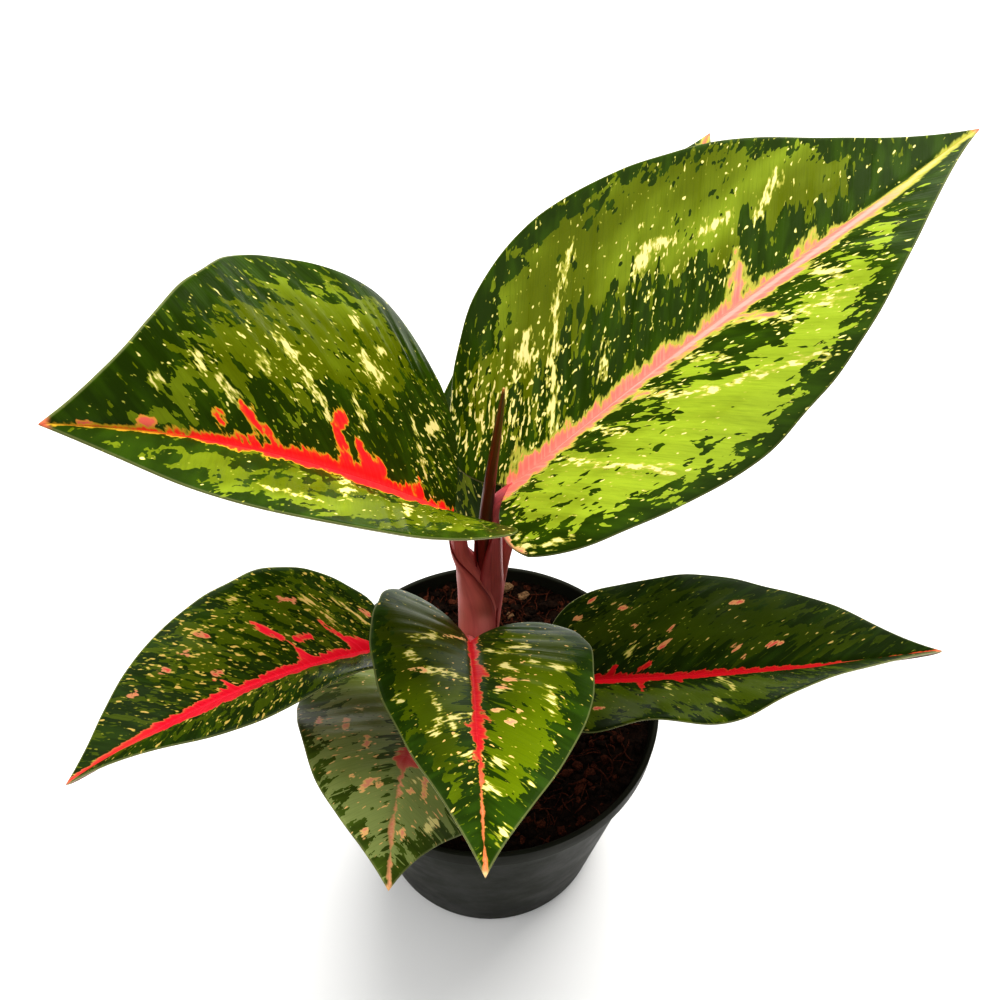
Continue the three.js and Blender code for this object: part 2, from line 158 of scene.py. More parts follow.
# Each leaf's shape, as in the source: pairs are (left, right) seen from above towards the tip
LEAVES = {
    "upper_right": dict(
        base=(6.7, 0.2, 199), length=159, half=(61.5, 48.5), azimuth=19, swerve=7, pitch=38.5,
        droop=15.5, roll=-7, twist=-3, fold=(19, 24.5), curl=(-20, 45), wave=(1.8, 2),
        phase=(45, 70), waves=1.35, lobe=(0.8, 0.4), taper=(0.2, 0),
        stalk=((-2, 1.6, 102.3, 4), (-1.4, 1.2, 130, 4.2), (0.3, 0.6, 150, 4.6),
               (0.4, 0.2, 165, 4.4), (0.8, 0, 178, 3.9), (2.2, 0.1, 187, 2.8)),
    ),
    "upper_left": dict(
        base=(-9.6, -5.5, 193), length=157, half=(45.5, 55.5), azimuth=225, swerve=13, pitch=53,
        droop=12, roll=-21.5, twist=-30, fold=(37.5, 35), curl=(-20, 33), wave=(2.8, 4.9),
        phase=(107, -4), waves=1.2, lobe=(1, 0.4), taper=(0.8, -0.1),
        stalk=((-4.2, -1, 102.3, 5.7), (-3.4, -1.4, 130, 5.9), (-3.2, -1.6, 150, 5.8),
               (-4.6, -1.8, 161, 4.6), (-6, -2.2, 167.5, 3.4), (-8, -3.4, 176, 2.6)),
    ),
    "rear": dict(
        base=(10, 12, 178), length=137, half=(41, 41), azimuth=55.5, swerve=6.5, pitch=36,
        droop=16, roll=-7.5, twist=-3, fold=(19, 25), curl=(11, 8), wave=(2, 1),
        phase=(-24, 0), waves=2.6, lobe=(1.1, 1.1), taper=(0, 0),
        stalk=((-2, 4.6, 102.3, 4.4), (-0.5, 5, 125, 4.1), (2, 5, 148, 3.5), (5, 5.4, 164, 2.6)),
    ),
    "front": dict(
        base=(-5.3, -17.2, 147.3), length=113.5, half=(33.2, 33.8), azimuth=274.5, swerve=-2,
        pitch=39, droop=28.5, roll=-11, twist=2.5, fold=(27.5, 39), curl=(9.5, 17.5),
        wave=(2, 3.2), phase=(-49, -3), waves=1.2, lobe=(1.2, 1), taper=(0, 0),
        stalk=((-2.5, -4, 99, 4.2), (-3, -8, 118, 3.2), (-4.6, -11, 133, 2.5)),
    ),
    "lower_left": dict(
        base=(-33.3, -24.5, 152.6), length=100, half=(29.5, 31.5), azimuth=221, swerve=0,
        pitch=32.5, droop=34, roll=7.5, twist=6.5, fold=(50, 34.5), curl=(38.5, -4.5),
        wave=(3.4, 1.8), phase=(271, -31), waves=1.4, lobe=(1.1, 1.5), taper=(0, 0),
        stalk=((-8, 0, 94, 4), (-14, -3, 112, 3), (-22, -11.5, 132, 2.4)),
    ),
    "lower_right": dict(
        base=(25.5, -8.3, 113), length=121, half=(38, 36), azimuth=-12, swerve=-1, pitch=20,
        droop=-11, roll=-7.5, twist=-19.5, fold=(32, 35.5), curl=(12.5, 34.5), wave=(1, 3.4),
        phase=(155, 181), waves=2.3, lobe=(1, 1.1), taper=(0, 0),
        stalk=((0.5, -1.5, 91, 4), (8, -4, 99, 3), (15, -6.2, 106, 2.4)),
    ),
    "front_left": dict(
        base=(-14.7, -11.3, 110.7), length=118, half=(34, 36), azimuth=256, swerve=17.5,
        pitch=44.5, droop=28, roll=-9.5, twist=0, fold=(-4, 16), curl=(28, 15.5), wave=(4, 2.4),
        phase=(282, 244), waves=2.6, lobe=(1.1, 1.1), taper=(0, 0),
        stalk=((-5.5, -5.5, 89, 3.8), (-9.5, -7.5, 97.5, 2.8)),
    ),
}
NEW_LEAF = (
    (-0.6, -1.2, 152, 2.4), (-0.8, -2, 176, 2.3), (0.2, -2.2, 194, 2), (2.2, -2.2, 214, 1.5),
    (4.2, -2.2, 231, 0.9), (5, -2, 239, 0.35),
)

# The open sheath of the youngest leaf, round the foot of the rolled one
ROLL_SHEATH = (
    (-1.4, -0.8, 126, 3.6), (-1.1, -1.5, 150, 3.1), (-0.9, -2.1, 170, 2.75), (-0.3, -2.3, 188, 2.4),
)
# Sheaths: their heights, the angles of their middle and half width, how long they hold that width
# and how far they stand off the stalk
SHEATHS = {
    "upper_left": [dict(low=103, high=180, middle=162, half=178, hold=4, lift=0.35)],
    "upper_right": [
        dict(low=128, high=187, middle=60, half=176, hold=5, lift=0.3, line=ROLL_SHEATH),
    ],
}
# How much further a blade's thin basal lobes reach back than its solid: left and right
LOBE_REACH = {"upper_right": (1.6, 1.5), "rear": (2.5, 1.3)}

# Leaf colours, linear
DARK = (0.018, 0.038, 0.001)
OLIVE = (0.100, 0.128, 0.001)
LIME = (0.29, 0.385, 0.024)
CREAM = (0.82, 0.72, 0.29)
YELLOW = (0.46, 0.45, 0.07)
PEACH = (0.88, 0.52, 0.20)
PINK_FLECK = (0.85, 0.34, 0.20)
UPPER_MARGIN = (0.20, 0.21, 0.08)
UNDER_MARGIN = (0.34, 0.33, 0.17)
UNDER_VEINS = (0.30, 0.34, 0.12)
STALK_TOP = (0.62, 0.05, 0.05)
# Dark red for the sheath margins: partly the red of the sheath's inner face, partly painted shade
# of that inner face
SHEATH_MARGIN_SHADE = (0.20, 0.008, 0.010)

# A stroke's half width as a share of the width in its table
STROKE_SHARE = 0.75
# Seeds that are one apart shift a noise by this much
SEED_STEP = 3.7
# The under face's noises start this many seeds further on
UNDER_SEED = 60

# What a leaf's markings are unless its own table says otherwise
MARKING_DEFAULTS = dict(
    gloss=0.08, slant=0, light=(OLIVE, LIME), dark=DARK, halo=YELLOW, fleck_colour=CREAM,
    cream_colour=CREAM, mark=PINK_FLECK, mark_rim=PEACH, tip=(0.62, 0.15, 0.08), tooth=(3.6, 15),
    hole=(1.9, 9), grain=((1, 1), (1, 1)), creases=(), isles=(), pinks=(),
)

# Each leaf's markings, on the flat blade: x runs from the stalk to the tip and y is above 0 on the
# left, in mm.
# - rib: x, upper and lower edge of the coloured midrib; flame: the same for the dark zone beside
#   it; band: x, left and right width of the dark margin
# - strokes, from point to point, with their first and last width: branches have the midrib's
#   colour, lines are cream veins, pinks are pink marks, creases are pale lines on the midrib
# - spots of x, y, radius and strength: fleck_spots have more flecks, isles have dark islands
# - the tone of each half, left and right: how lime it is, partly the tissue's own colour and partly
#   painted shade on a half that faces away from the light; slant: how much darker it gets towards
#   the tip
# - core, core_pale, core_rim and core_tip: the midrib's colours, the last from core_until of the
#   length on; fringe: the ragged edge of fringe_width beside it; halo: the rim round cream flecks
# - teeth, blotch and jag: how ragged the flame, the band and the midrib are, in mm
# - tooth, speck and hole: width and length of the marks in the teeth, flecks and light holes
# - grain: how much finer the marks are along x and along the veins, left and right
# - lead and bend: how far the side veins run forward for each mm outward, left and right, and how
#   much more at the tip
MARKINGS = {
    "upper_right": dict(
        # The left half's low tone is partly painted shade: that half faces away from the light
        seed=1, tone_and_shade=(0.22, 0.9), slant=-0.05, gloss=0.05, core=(0.84, 0.2, 0.16),
        core_pale=(0.93, 0.38, 0.29), core_rim=(0.93, 0.4, 0.1), core_tip=(0.56, 0.52, 0.16),
        core_until=0.82, fringe=YELLOW, fringe_width=1.7, jag=7, lead=(0.72, 0.92), bend=0.1,
        teeth=42, blotch=24, fleck=-0.05, speck=(1.4, 4), hole=(2.2, 6),
        grain=((0.9, 1.1), (0.75, 1.4)),
        rib=((-3, 0, -5), (3, 3, -8), (8, 3.6, -6.8), (20, 3, -5), (35, 1.8, -5), (50, 3.2, -4.8),
            (60, 1.8, -5.2), (72, 1.2, -5.6), (80, 1.8, -8), (86, 0.4, -7), (100, -0.8, -7),
            (110, 0.8, -6), (120, -1.2, -6), (127, -1.8, -6), (135, -2, -4), (150, -0.4, -1.1),
            (160, -0.2, -0.2)),
        flame=((-8, 28, -13), (8, 25, -11), (22, 20, -10), (32, 26, -17), (48, 28, -19),
            (60, 28, -17), (70, 22, -23), (80, 19, -24), (86, 9, -24), (95, 19, -21),
            (104, 15, -21), (116, 11, -16), (124, 10, -15), (132, 22, -14), (150, 12, -9)),
        band=((-8, 6, 8), (5, 7, 8), (20, 9, 7), (45, 6, 5), (60, 6, 5), (80, 5.5, 6.5),
            (100, 3, 6), (115, 3, 6.5), (127, 6, 8), (134, 12, 9), (150, 9, 8)),
        creases=(((18, -1), (60, -2.6), (100, -4), (126, -3.4), 0.2, 0.5),
            ((60, -3.4), (110, -4.4), 0.5, 0.3)),
        fleck_spots=((0, 24, 20, 0.75), (18, 16, 14, 0.6), (72, 30, 9, 0.55), (82, 26, 6, 0.35),
            (27, 28, 8, 0.5), (45, 22, 10, 0.25), (62, 20, 8, 0.35), (82, 10, 9, 0.5),
            (2, -13, 9, 0.5), (92, -18, 12, 0.35), (108, -12, 14, 0.35), (56, -10, 10, 0.3)),
        isles=((22, 44, 9, 1), (12, 38, 9, 0.9), (52, 44, 3, 1.2), (70, 52, 6, 1.1),
            (64, 49, 3, 1.1), (39, 43, 3, 1.1), (86, 27, 4, 1.1), (42, -28, 4, 1),
            (81, -25, 5, 0.9), (28, -40, 6, 1.1), (54, -39, 8, 1.05), (21, -27, 9, 0.95),
            (10, -30, 8, 0.9), (2, -22, 8, 0.8), (95, 38, 14, 0.6)),
        branches=(((82, 2), (90, 12), 2.2, 0.4), ((78, -7), (86, -17), 1.6, 0.3),
            ((6, 4), (9, 8), 1.2, 0.2), ((45, -5), (51, -15), 1.1, 0.3),
            ((102, 0.5), (108, 4), 1.4, 0.3)),
        lines=(((-1, -27), (3, -34), 1.1, 0.6), ((6, -35), (13, -38), 0.8, 0.5),
            ((20, 5), (31, 22), (41, 35), (56, 48), 1.3, 0.5),
            ((66, 28), (72, 32), (78, 30), 2.2, 1.6), ((24, 28), (30, 34), 2.2, 1.2),
            ((30, -6), (38, -18), 0.9, 0.5), ((45, -6), (52, -16), (60, -24), (90, -37), 1, 0.5),
            ((18, -8), (33, -29), (43, -38), 0.7, 0.9), ((78, -8), (88, -21), (104, -26), 0.9, 0.6),
            ((100, 18), (112, 25), 0.8, 1.3), ((63, -8), (70, -19), 1.2, 0.4),
            ((101, -12), (104, -19), 1.6, 1.2), ((40, 8), (47, 18), 0.8, 0.4),
            ((85, 25), (96, 24), 0.8, 0.8)),
        pinks=(((-4, -22), (-3.5, -29), 1.6, 1), ((-2, -30), (0, -33), 0.8, 0.6)),
    ),
    "upper_left": dict(
        seed=2, tone_and_shade=(0.28, 0.16), gloss=0.03, mark=(0.84, 0.15, 0.11), mark_rim=(0.76, 0.3, 0.06),
        core=(0.95, 0.022, 0.03), core_pale=(0.97, 0.05, 0.045), core_rim=(0.93, 0.1, 0.02),
        core_tip=(0.72, 0.22, 0.08), core_until=0.88, fringe=(0.66, 0.4, 0.03),
        fringe_width=0.9, jag=6, lead=(1, 0.95), bend=0.35, teeth=46, tooth=(3.6, 8), blotch=34,
        fleck=-0.15, speck=(2.1, 2.6), hole=(2, 4.5), grain=((0.5, 1.5), (0.68, 1.5)),
        rib=((-2, 2, -1), (10, 5, -1.2), (25, 11, -1.6), (40, 13, -2.2), (50, 12, -3.4),
            (62, 7, -2.6), (72, 4, -2.2), (90, 3, -1.8), (108, 1.6, -1.4), (120, 0.2, -0.8),
            (132, -0.2, -0.5), (140, -0.3, 0.1), (158, -0.2, 0)),
        flame=((-6, 12, -38), (15, 12, -38), (28, 12, -34), (38, 14, -22), (50, 16, -21),
            (60, 18, -20), (68, 14, -20), (78, 11, -13), (92, 12, -17), (104, 10, -13),
            (118, 7, -8), (140, 5, -6)),
        band=((-8, 7, 18), (10, 8, 19), (25, 9, 15), (35, 9, 7), (60, 9, 8.5), (80, 7, 10),
            (100, 7, 11), (125, 5, 11), (150, 5, 8)),
        fleck_spots=((8, -18, 15, 0.6), (45, -27, 9, 0.6), (80, -20, 13, 0.6), (60, 24, 18, 0.5),
            (20, -8, 9, 0.4), (112, -14, 9, 0.5), (60, -34, 10, 0.25), (95, -26, 8, 0.4)),
        isles=((60, -34, 10, 0.75), (75, -33, 9, 0.8), (90, -30, 8, 0.8), (45, -40, 8, 0.8),
            (30, -36, 8, 0.9)),
        branches=(((43, -1.5), (55, -9), 5.2, 0.5), ((57, -1.5), (67, -13), 2.8, 0.5),
            ((88, -2), (101, -9), 1.5, 0.4), ((19, -1), (22, -5), 1.8, 0.3),
            ((107, -4.5), (110, -6), 0.9, 0.6), ((61, -12.5), (63, -13), 1.8, 1.6)),
        lines=(((67, -13), (77, -21), 1.4, 1.2), ((101, -9), (108, -13), 1, 0.6),
            ((11, -24), (16, -21), 2.2, 1.8), ((43, -28), (50, -32), 2.4, 1.8),
            ((50, -13), (55, -20), 1.4, 0.5), ((50, -41), (51, -41), 1.8, 1.6),
            ((114, -15), (115, -17), 1.5, 1.3), ((79, -24), (85, -27), 1.6, 1.6),
            ((40, -36), (41, -37), 1.2, 1.2), ((18, -8), (26, -22), 0.8, 0.3),
            ((127, -10), (129, -10.5), 1, 0.8), ((92, -19), (93, -20), 1.6, 1.4),
            ((68, 8), (84, 20), 1.4, 0.8), ((55, 18), (70, 28), 0.9, 0.9),
            ((98, 21), (110, 17), 1, 0.8)),
        pinks=(((129, -1.6), (132, -1.9), 1.6, 1.3), ((145, -0.5), (148, -0.5), 0.9, 0.7)),
    ),
    "rear": dict(
        seed=3, tone_and_shade=(0.3, 0.45), core=(0.88, 0.2, 0.13), core_pale=(0.95, 0.3, 0.2),
        core_rim=(0.93, 0.3, 0.08), core_tip=(0.85, 0.2, 0.14), core_until=0.95, fringe=YELLOW,
        fringe_width=1.2, jag=6, lead=(0.85, 0.85), bend=0.2, teeth=36, blotch=26, fleck=0.05,
        speck=(1.4, 4),
        rib=((-3, 2, -2), (10, 3.2, -3), (40, 3, -3), (80, 2.4, -2.2), (110, 1.6, -1.4),
            (138, 0.5, -0.5)),
        flame=((-6, 16, -16), (30, 14, -16), (70, 12, -12), (110, 8, -8), (138, 6, -6)),
        band=((-6, 7, 7), (40, 6, 6), (80, 7, 7), (138, 6, 6)),
        fleck_spots=((10, 8, 18, 0.5), (40, -15, 12, 0.4)),
        branches=(((30, 2), (38, 12), 1.8, 0.3), ((52, -2), (60, -11), 1.6, 0.3),
            ((74, 2), (80, 8), 1.2, 0.3)),
        lines=(((38, 12), (48, 25), 1, 0.5), ((20, -3), (32, -20), 0.9, 0.5),
            ((80, -4), (92, -14), 0.8, 0.5)),
    ),
    "front": dict(
        seed=4, tone_and_shade=(0.6, 0.2), slant=-0.3, gloss=0.02,
        light=((0.044, 0.066, 0.001), (0.12, 0.172, 0.002)), dark=(0.016, 0.036, 0.002),
        halo=(0.36, 0.36, 0.03), fleck_colour=PEACH, tip=(0.72, 0.46, 0.22),
        core=(0.6, 0.018, 0.03), core_pale=(0.78, 0.06, 0.06), core_rim=(0.72, 0.06, 0.03),
        core_tip=(0.74, 0.4, 0.18), core_until=0.74, fringe=(0.6, 0.2, 0.06), fringe_width=0.6,
        jag=3.5, lead=(1, 0.95), bend=0.15, teeth=24, blotch=22, fleck=-0.1, speck=(1.7, 2.6),
        hole=(1.6, 5),
        rib=((-3, 3, -2), (2, 2.2, -1.4), (20, 1.5, -0.9), (26, 2.4, -0.9), (35, 2.5, -1),
            (40, 0.9, -1.2), (50, 1.5, -1.4), (56, 0.9, -1.6), (62, 1.8, -2.6), (68, 1.6, -2.6),
            (72, 0.5, -0.5), (78, 0.4, -1), (84, 0.6, 0), (87, -0.3, 0), (92, 0.1, -0.3),
            (104, -0.2, 0), (110, 0.4, -0.4), (114, 0.6, -0.6)),
        flame=((-5, 8, -12), (10, 9, -6), (25, 5, -4), (40, 7, -3), (55, 4, -5), (70, 3, -7),
            (90, 5, -8), (110, 4, -4)),
        band=((-7, 12, 6), (8, 10, 5), (15, 5, 4), (30, 5, 3), (50, 6, 4), (70, 7, 4), (90, 6, 5),
            (112, 5, 4)),
        fleck_spots=((8, 6, 8, 0.4), (35, 10, 12, 0.4), (55, 20, 6, 0.3), (80, -2, 12, 0.5)),
        isles=((40, 14, 8, 0.6), (60, 10, 8, 0.6), (20, 20, 8, 0.5), (45, -14, 14, 0.7),
            (70, -18, 8, 0.5)),
        branches=(((57, 1.5), (61, 4), 1.2, 0.2), ((66, 1), (70, 3.6), 1, 0.2),
            ((75, -1), (79, -4), 1, 0.2), ((62, -2), (65, -4.5), 1.2, 0.3),
            ((30, 2), (36, 4.6), 1, 0.2)),
        lines=(((24, -13), (38, -22), 1, 0.6), ((40, -4), (50, -17), 1.3, 1),
            ((44, -21), (47, -22), 1.4, 1), ((59, -3), (66, -9), (72, -8), 0.9, 0.6),
            ((59, -15), (64, -14), 1, 0.9), ((68, -12), (76, -14), 0.9, 0.9),
            ((18, 12), (22, 17), 1.3, 0.9), ((15, 4), (25, 14), 0.6, 0.3),
            ((31, 9), (37, 12), 1.2, 0.5), ((51, 20), (62, 20), 0.9, 0.7),
            ((33, 16), (45, 26), 0.5, 0.3), ((46, 7), (49, 10), 1.2, 0.6),
            ((76, -3), (80, -5), 1, 0.6), ((78, 4), (80, 6), 1.6, 1), ((86, 1), (90, 4), 1.3, 0.8),
            ((100, 5), (104, 4), 0.9, 0.6), ((87, 12), (88, 12), 0.8, 0.6),
            ((65, -24), (67, -24), 0.9, 0.7)),
        pinks=(((41, 9), (45, 15), 1.2, 0.7), ((5, -2), (12, -7), (22, -12), 0.6, 0.3),
            ((56, 4.5), (57, 7), 1, 0.6), ((62.5, 8), (64, 9.5), 1.2, 0.9),
            ((59, 11), (60, 12), 0.9, 0.7), ((50, -18), (53, -21), 1.2, 0.8),
            ((44, 7), (47, 9), 1.2, 0.6)),
    ),
    "lower_left": dict(
        seed=5, tone_and_shade=(0.3, 0.4), gloss=0.04, light=((0.045, 0.068, 0.001), (0.07, 0.1, 0.002)),
        dark=(0.011, 0.024, 0.001), halo=(0.22, 0.23, 0.02), fleck_colour=(0.5, 0.34, 0.09),
        cream_colour=(0.52, 0.36, 0.12), mark=(0.5, 0.06, 0.05), mark_rim=(0.5, 0.2, 0.09),
        core=(0.62, 0.01, 0.03), core_pale=(0.75, 0.04, 0.07), core_rim=(0.66, 0.03, 0.04),
        core_tip=(0.6, 0.06, 0.04), core_until=0.8, fringe=(0.62, 0.16, 0.06), fringe_width=0.5,
        jag=3.5, lead=(0.8, 0.85), bend=0.15, teeth=80, tooth=(3, 6), blotch=60, fleck=0.2,
        speck=(1.5, 2), hole=(1.8, 3),
        rib=((-3, 6, -3), (5, 13, -3), (15, 14, -2.6), (35, 13, -2.2), (50, 10, -1.9),
            (65, 8, -1.6), (76, 5, -1.2), (84, 2, -0.8), (92, 0.8, -0.6), (101, 0.5, -0.5)),
        flame=((-5, 12, -10), (40, 12, -10), (80, 8, -8), (101, 5, -5)),
        band=((-6, 5, 6), (50, 5, 5), (100, 5, 5)),
        fleck_spots=((12, -16, 12, 0.3), (55, -16, 14, 0.35), (50, 18, 12, 0.3)),
        isles=((30, -18, 30, 0.6), (70, 0, 30, 0.5), (40, 20, 25, 0.5)),
        branches=(((4, -2), (14, -9), 2.2, 0.5), ((24, -1.5), (29, -8), 1.3, 0.4),
            ((31, -10), (37, -18), 1.1, 0.7), ((22, -9), (26, -9.6), 1.3, 0.9),
            ((50, -1), (54, -6), 1.2, 0.4), ((14, -9), (18, -14), 0.7, 0.3)),
        lines=(((0, -10), (8, -19), 0.8, 0.4), ((10, -11), (20, -21), 0.6, 0.3),
            ((38, -26), (42, -27), 0.9, 0.6)),
        pinks=(((22, -20), (27, -22), 1, 0.6), ((57, -16), (59, -17), 1.1, 0.8),
            ((64, -14), (66, -15), 1.1, 0.9), ((50, -19), (52, -21), 1.1, 0.8),
            ((52, -7), (54, -8), 1, 0.8), ((74, -12), (75, -12.5), 0.8, 0.6),
            ((-3, -12), (0, -14), 0.8, 0.5)),
    ),
    "lower_right": dict(
        seed=6, tone_and_shade=(0.2, 0.9), gloss=0.04, light=((0.021, 0.034, 0.001), (0.048, 0.072, 0.001)),
        dark=(0.008, 0.017, 0.001), halo=(0.14, 0.17, 0.02), fleck_colour=(0.36, 0.24, 0.08),
        cream_colour=(0.42, 0.36, 0.1), mark=(0.42, 0.06, 0.05), mark_rim=(0.42, 0.2, 0.08),
        core=(0.4, 0.005, 0.012), core_pale=(0.52, 0.01, 0.02), core_rim=(0.36, 0.01, 0.01),
        core_tip=(0.45, 0.2, 0.06), core_until=0.8, fringe=(0.55, 0.06, 0.03), fringe_width=0.4,
        jag=2.5, lead=(1, 1), bend=0.15, teeth=34, blotch=50, fleck=-0.15, speck=(1.5, 2.2),
        rib=((-3, 2, -4), (12, 1.4, -7), (35, 0.9, -7.5), (50, 1.2, -7), (70, 0.6, -5),
            (84, 0.4, -6), (90, 0.1, -4), (97, -0.3, -2), (104, 0, -0.4), (121, 0.4, -0.4)),
        flame=((-5, 10, -14), (30, 10, -15), (60, 8, -14), (90, 6, -10), (120, 5, -5)),
        band=((-6, 6, 5), (40, 7, 3), (80, 7, 6), (120, 5, 5)),
        fleck_spots=((14, 22, 15, 0.45), (32, 10, 10, 0.35), (25, -22, 12, 0.3)),
        isles=((40, 20, 40, 0.5), (80, 0, 30, 0.4)),
        branches=(((16, 1), (18, 4), 1.2, 0.3), ((26, 2), (30, 5), 1, 0.4),
            ((40, -6), (44, -12), 1.2, 0.3), ((28, -6), (33, -18), 0.9, 0.3)),
        lines=(((40, -13), (44, -21), 0.9, 0.4), ((22, 8), (24, 11), 0.8, 0.5),
            ((55, -9), (62, -18), 0.9, 0.4), ((58, -24), (60, -23), 1, 0.8)),
        pinks=(((33, 10), (36, 13), 1, 0.8), ((35, 16), (37, 18), 0.8, 0.6),
            ((18, 25), (21, 25.5), 0.8, 0.6), ((68, 9), (72, 10), 1.1, 0.8),
            ((57, 8), (59, 10), 0.9, 0.5), ((60, 5), (61, 6), 0.8, 0.5),
            ((7, 28), (9, 29), 0.7, 0.5), ((23, 18), (24.5, 19), 0.7, 0.5),
            ((55, 26.5), (59, 27), 0.8, 0.6), ((3, 21), (5, 22), 0.9, 0.7),
            ((29, 4), (30, 5), 0.8, 0.6), ((18, -24), (21, -24), 1, 0.7)),
    ),
    "front_left": dict(
        seed=8, tone_and_shade=(0.5, 0.6), slant=-0.4, gloss=0.04,
        light=((0.13, 0.17, 0.025), (0.26, 0.31, 0.1)), dark=(0.045, 0.07, 0.008),
        halo=(0.34, 0.32, 0.1), fleck_colour=PEACH, tip=(0.74, 0.4, 0.18),
        core=(0.62, 0.05, 0.05), core_pale=(0.72, 0.14, 0.12), core_rim=(0.7, 0.16, 0.08),
        core_tip=(0.84, 0.52, 0.3), core_until=0.62, fringe=(0.62, 0.34, 0.14),
        fringe_width=0.7, jag=3.5, lead=(0.9, 0.9), bend=0.15, teeth=24, blotch=34, fleck=0,
        speck=(1.6, 3),
        rib=((-3, 2, -2), (20, 2, -1.8), (50, 1.4, -1.4), (60, 1.4, -1.2), (64, 2.2, -2.6),
            (68, 1.6, -2.4), (71, 0.1, -0.3), (82, 0.5, 0.1), (87, -0.4, 0.4), (92, -0.1, 0.1),
            (98, 0.1, -0.8), (106, -0.3, 0.2), (112, 0.1, -0.1), (118, 0.1, -0.1)),
        flame=((-5, 7, -9), (30, 6, -8), (50, 2, -6), (70, -3, -6), (90, -3, -2), (118, 1, -1)),
        band=((-6, 6, 8), (50, 5, 8), (80, 4, 3), (118, 3, 2)),
        fleck_spots=((90, 6, 10, 0.5), (70, -16, 12, 0.4)),
        isles=((60, -14, 20, 0.5), (60, 14, 16, 0.5)),
        branches=(((60, -1), (66, -3.4), 1.2, 0.5), ((63, 1.5), (67, 3), 1, 0.4)),
        lines=(((44, -16), (47, -18), 1, 0.8), ((89, 11), (95, 9), 1.6, 0.9),
            ((74, 4), (76, 3), 0.8, 0.5)),
        pinks=(((71, 6.6), (82, 7), 0.9, 0.6), ((62, -12), (67, -12), 1.2, 0.8),
            ((80, -8), (86, -10), 1.1, 0.9), ((79, -5.5), (83, -5.8), 0.8, 0.6),
            ((55, -20), (62, -19), 1.1, 0.6), ((97, 2.6), (101, 2.4), 0.8, 0.5),
            ((100, -7), (103, -7.6), 1, 0.6), ((58, -27), (64, -26.6), 0.8, 0.6),
            ((81, -13), (83, -13.5), 0.8, 0.5), ((79, 3.4), (81, 3), 0.9, 0.7)),
    ),
}

# Floor and lamps, in metres
FLOOR_HALF, FLOOR_Z = 1.15, -0.0006
LAMP_AIM = (0, 0, 0.15)
LAMP_SIZE = 3.0
# Light from all round, and the paler backdrop that the camera alone sees
WORLD_STRENGTH = 0.22
BACKDROP_STRENGTH = 0.85

# The photograph's camera: place, lens and sensor in mm, tilt from straight down in degrees
CAMERA = {"place": (4, -236, 452), "tilt": 42.4, "lens": 43.46, "sensor": 36}


# Curves and grids

def catmull(points, t):
    """Points of a uniform Catmull-Rom spline at shares t of its length."""
    p = np.asarray(points, float)
    spans = len(p) - 1
    p = np.vstack([2 * p[0] - p[1], p, 2 * p[-1] - p[-2]])
    place = np.clip(np.asarray(t, float) * spans, 0, spans - 1e-9)
    low = np.floor(place).astype(int)
    u = (place - low)[:, None]
    a, b, c, d = p[low], p[low + 1], p[low + 2], p[low + 3]
    square, cube = 2 * a - 5 * b + 4 * c - d, 3 * b - a - 3 * c + d
    return 0.5 * (2 * b + (c - a) * u + square * u**2 + cube * u**3)


def unit(v):
    return v / np.maximum(np.linalg.norm(v, axis=-1, keepdims=True), 1e-9)


def smoothstep(low, high, value):
    t = np.clip((value - low) / (high - low), 0, 1)
    return t * t * (3 - 2 * t)


def wander(t, seed, waves=5, lowest=2):
    """A smooth seeded curve between about -1 and 1."""
    rng = np.random.default_rng(seed)
    total = 0
    for k in range(waves):
        phase = rng.uniform(0, 2 * np.pi)
        total = total + np.sin((lowest + k * 1.7) * 2 * np.pi * t + phase) / (1 + 0.5 * k)
    return total / 2


def make_piece(name, points, faces, materials, node, kinds=None, uvs=None, fields=None):
    """A smooth mesh object in metres that rides on the root body and stands for a CAD node."""
    mesh = bpy.data.meshes.new(name)
    mesh.from_pydata((np.asarray(points, float) * MM).tolist(), [], faces)
    for material in materials:
        mesh.materials.append(material)
    if kinds is not None:
        mesh.polygons.foreach_set("material_index", np.asarray(kinds, np.int32))
    mesh.polygons.foreach_set("use_smooth", np.ones(len(mesh.polygons), bool))
    for layer, corners in (uvs or {}).items():
        uv = mesh.uv_layers.new(name=layer)
        uv.data.foreach_set("uv", np.asarray(corners, np.float32).ravel())
    for field, values in (fields or {}).items():
        attribute = mesh.attributes.new(field, "FLOAT", "POINT")
        attribute.data.foreach_set("value", np.asarray(values, np.float32))
    mesh.update()
    piece = bpy.data.objects.new(name, mesh)
    bpy.context.scene.collection.objects.link(piece)
    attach(piece, "root")
    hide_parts(node)
    return piece


# Node graphs

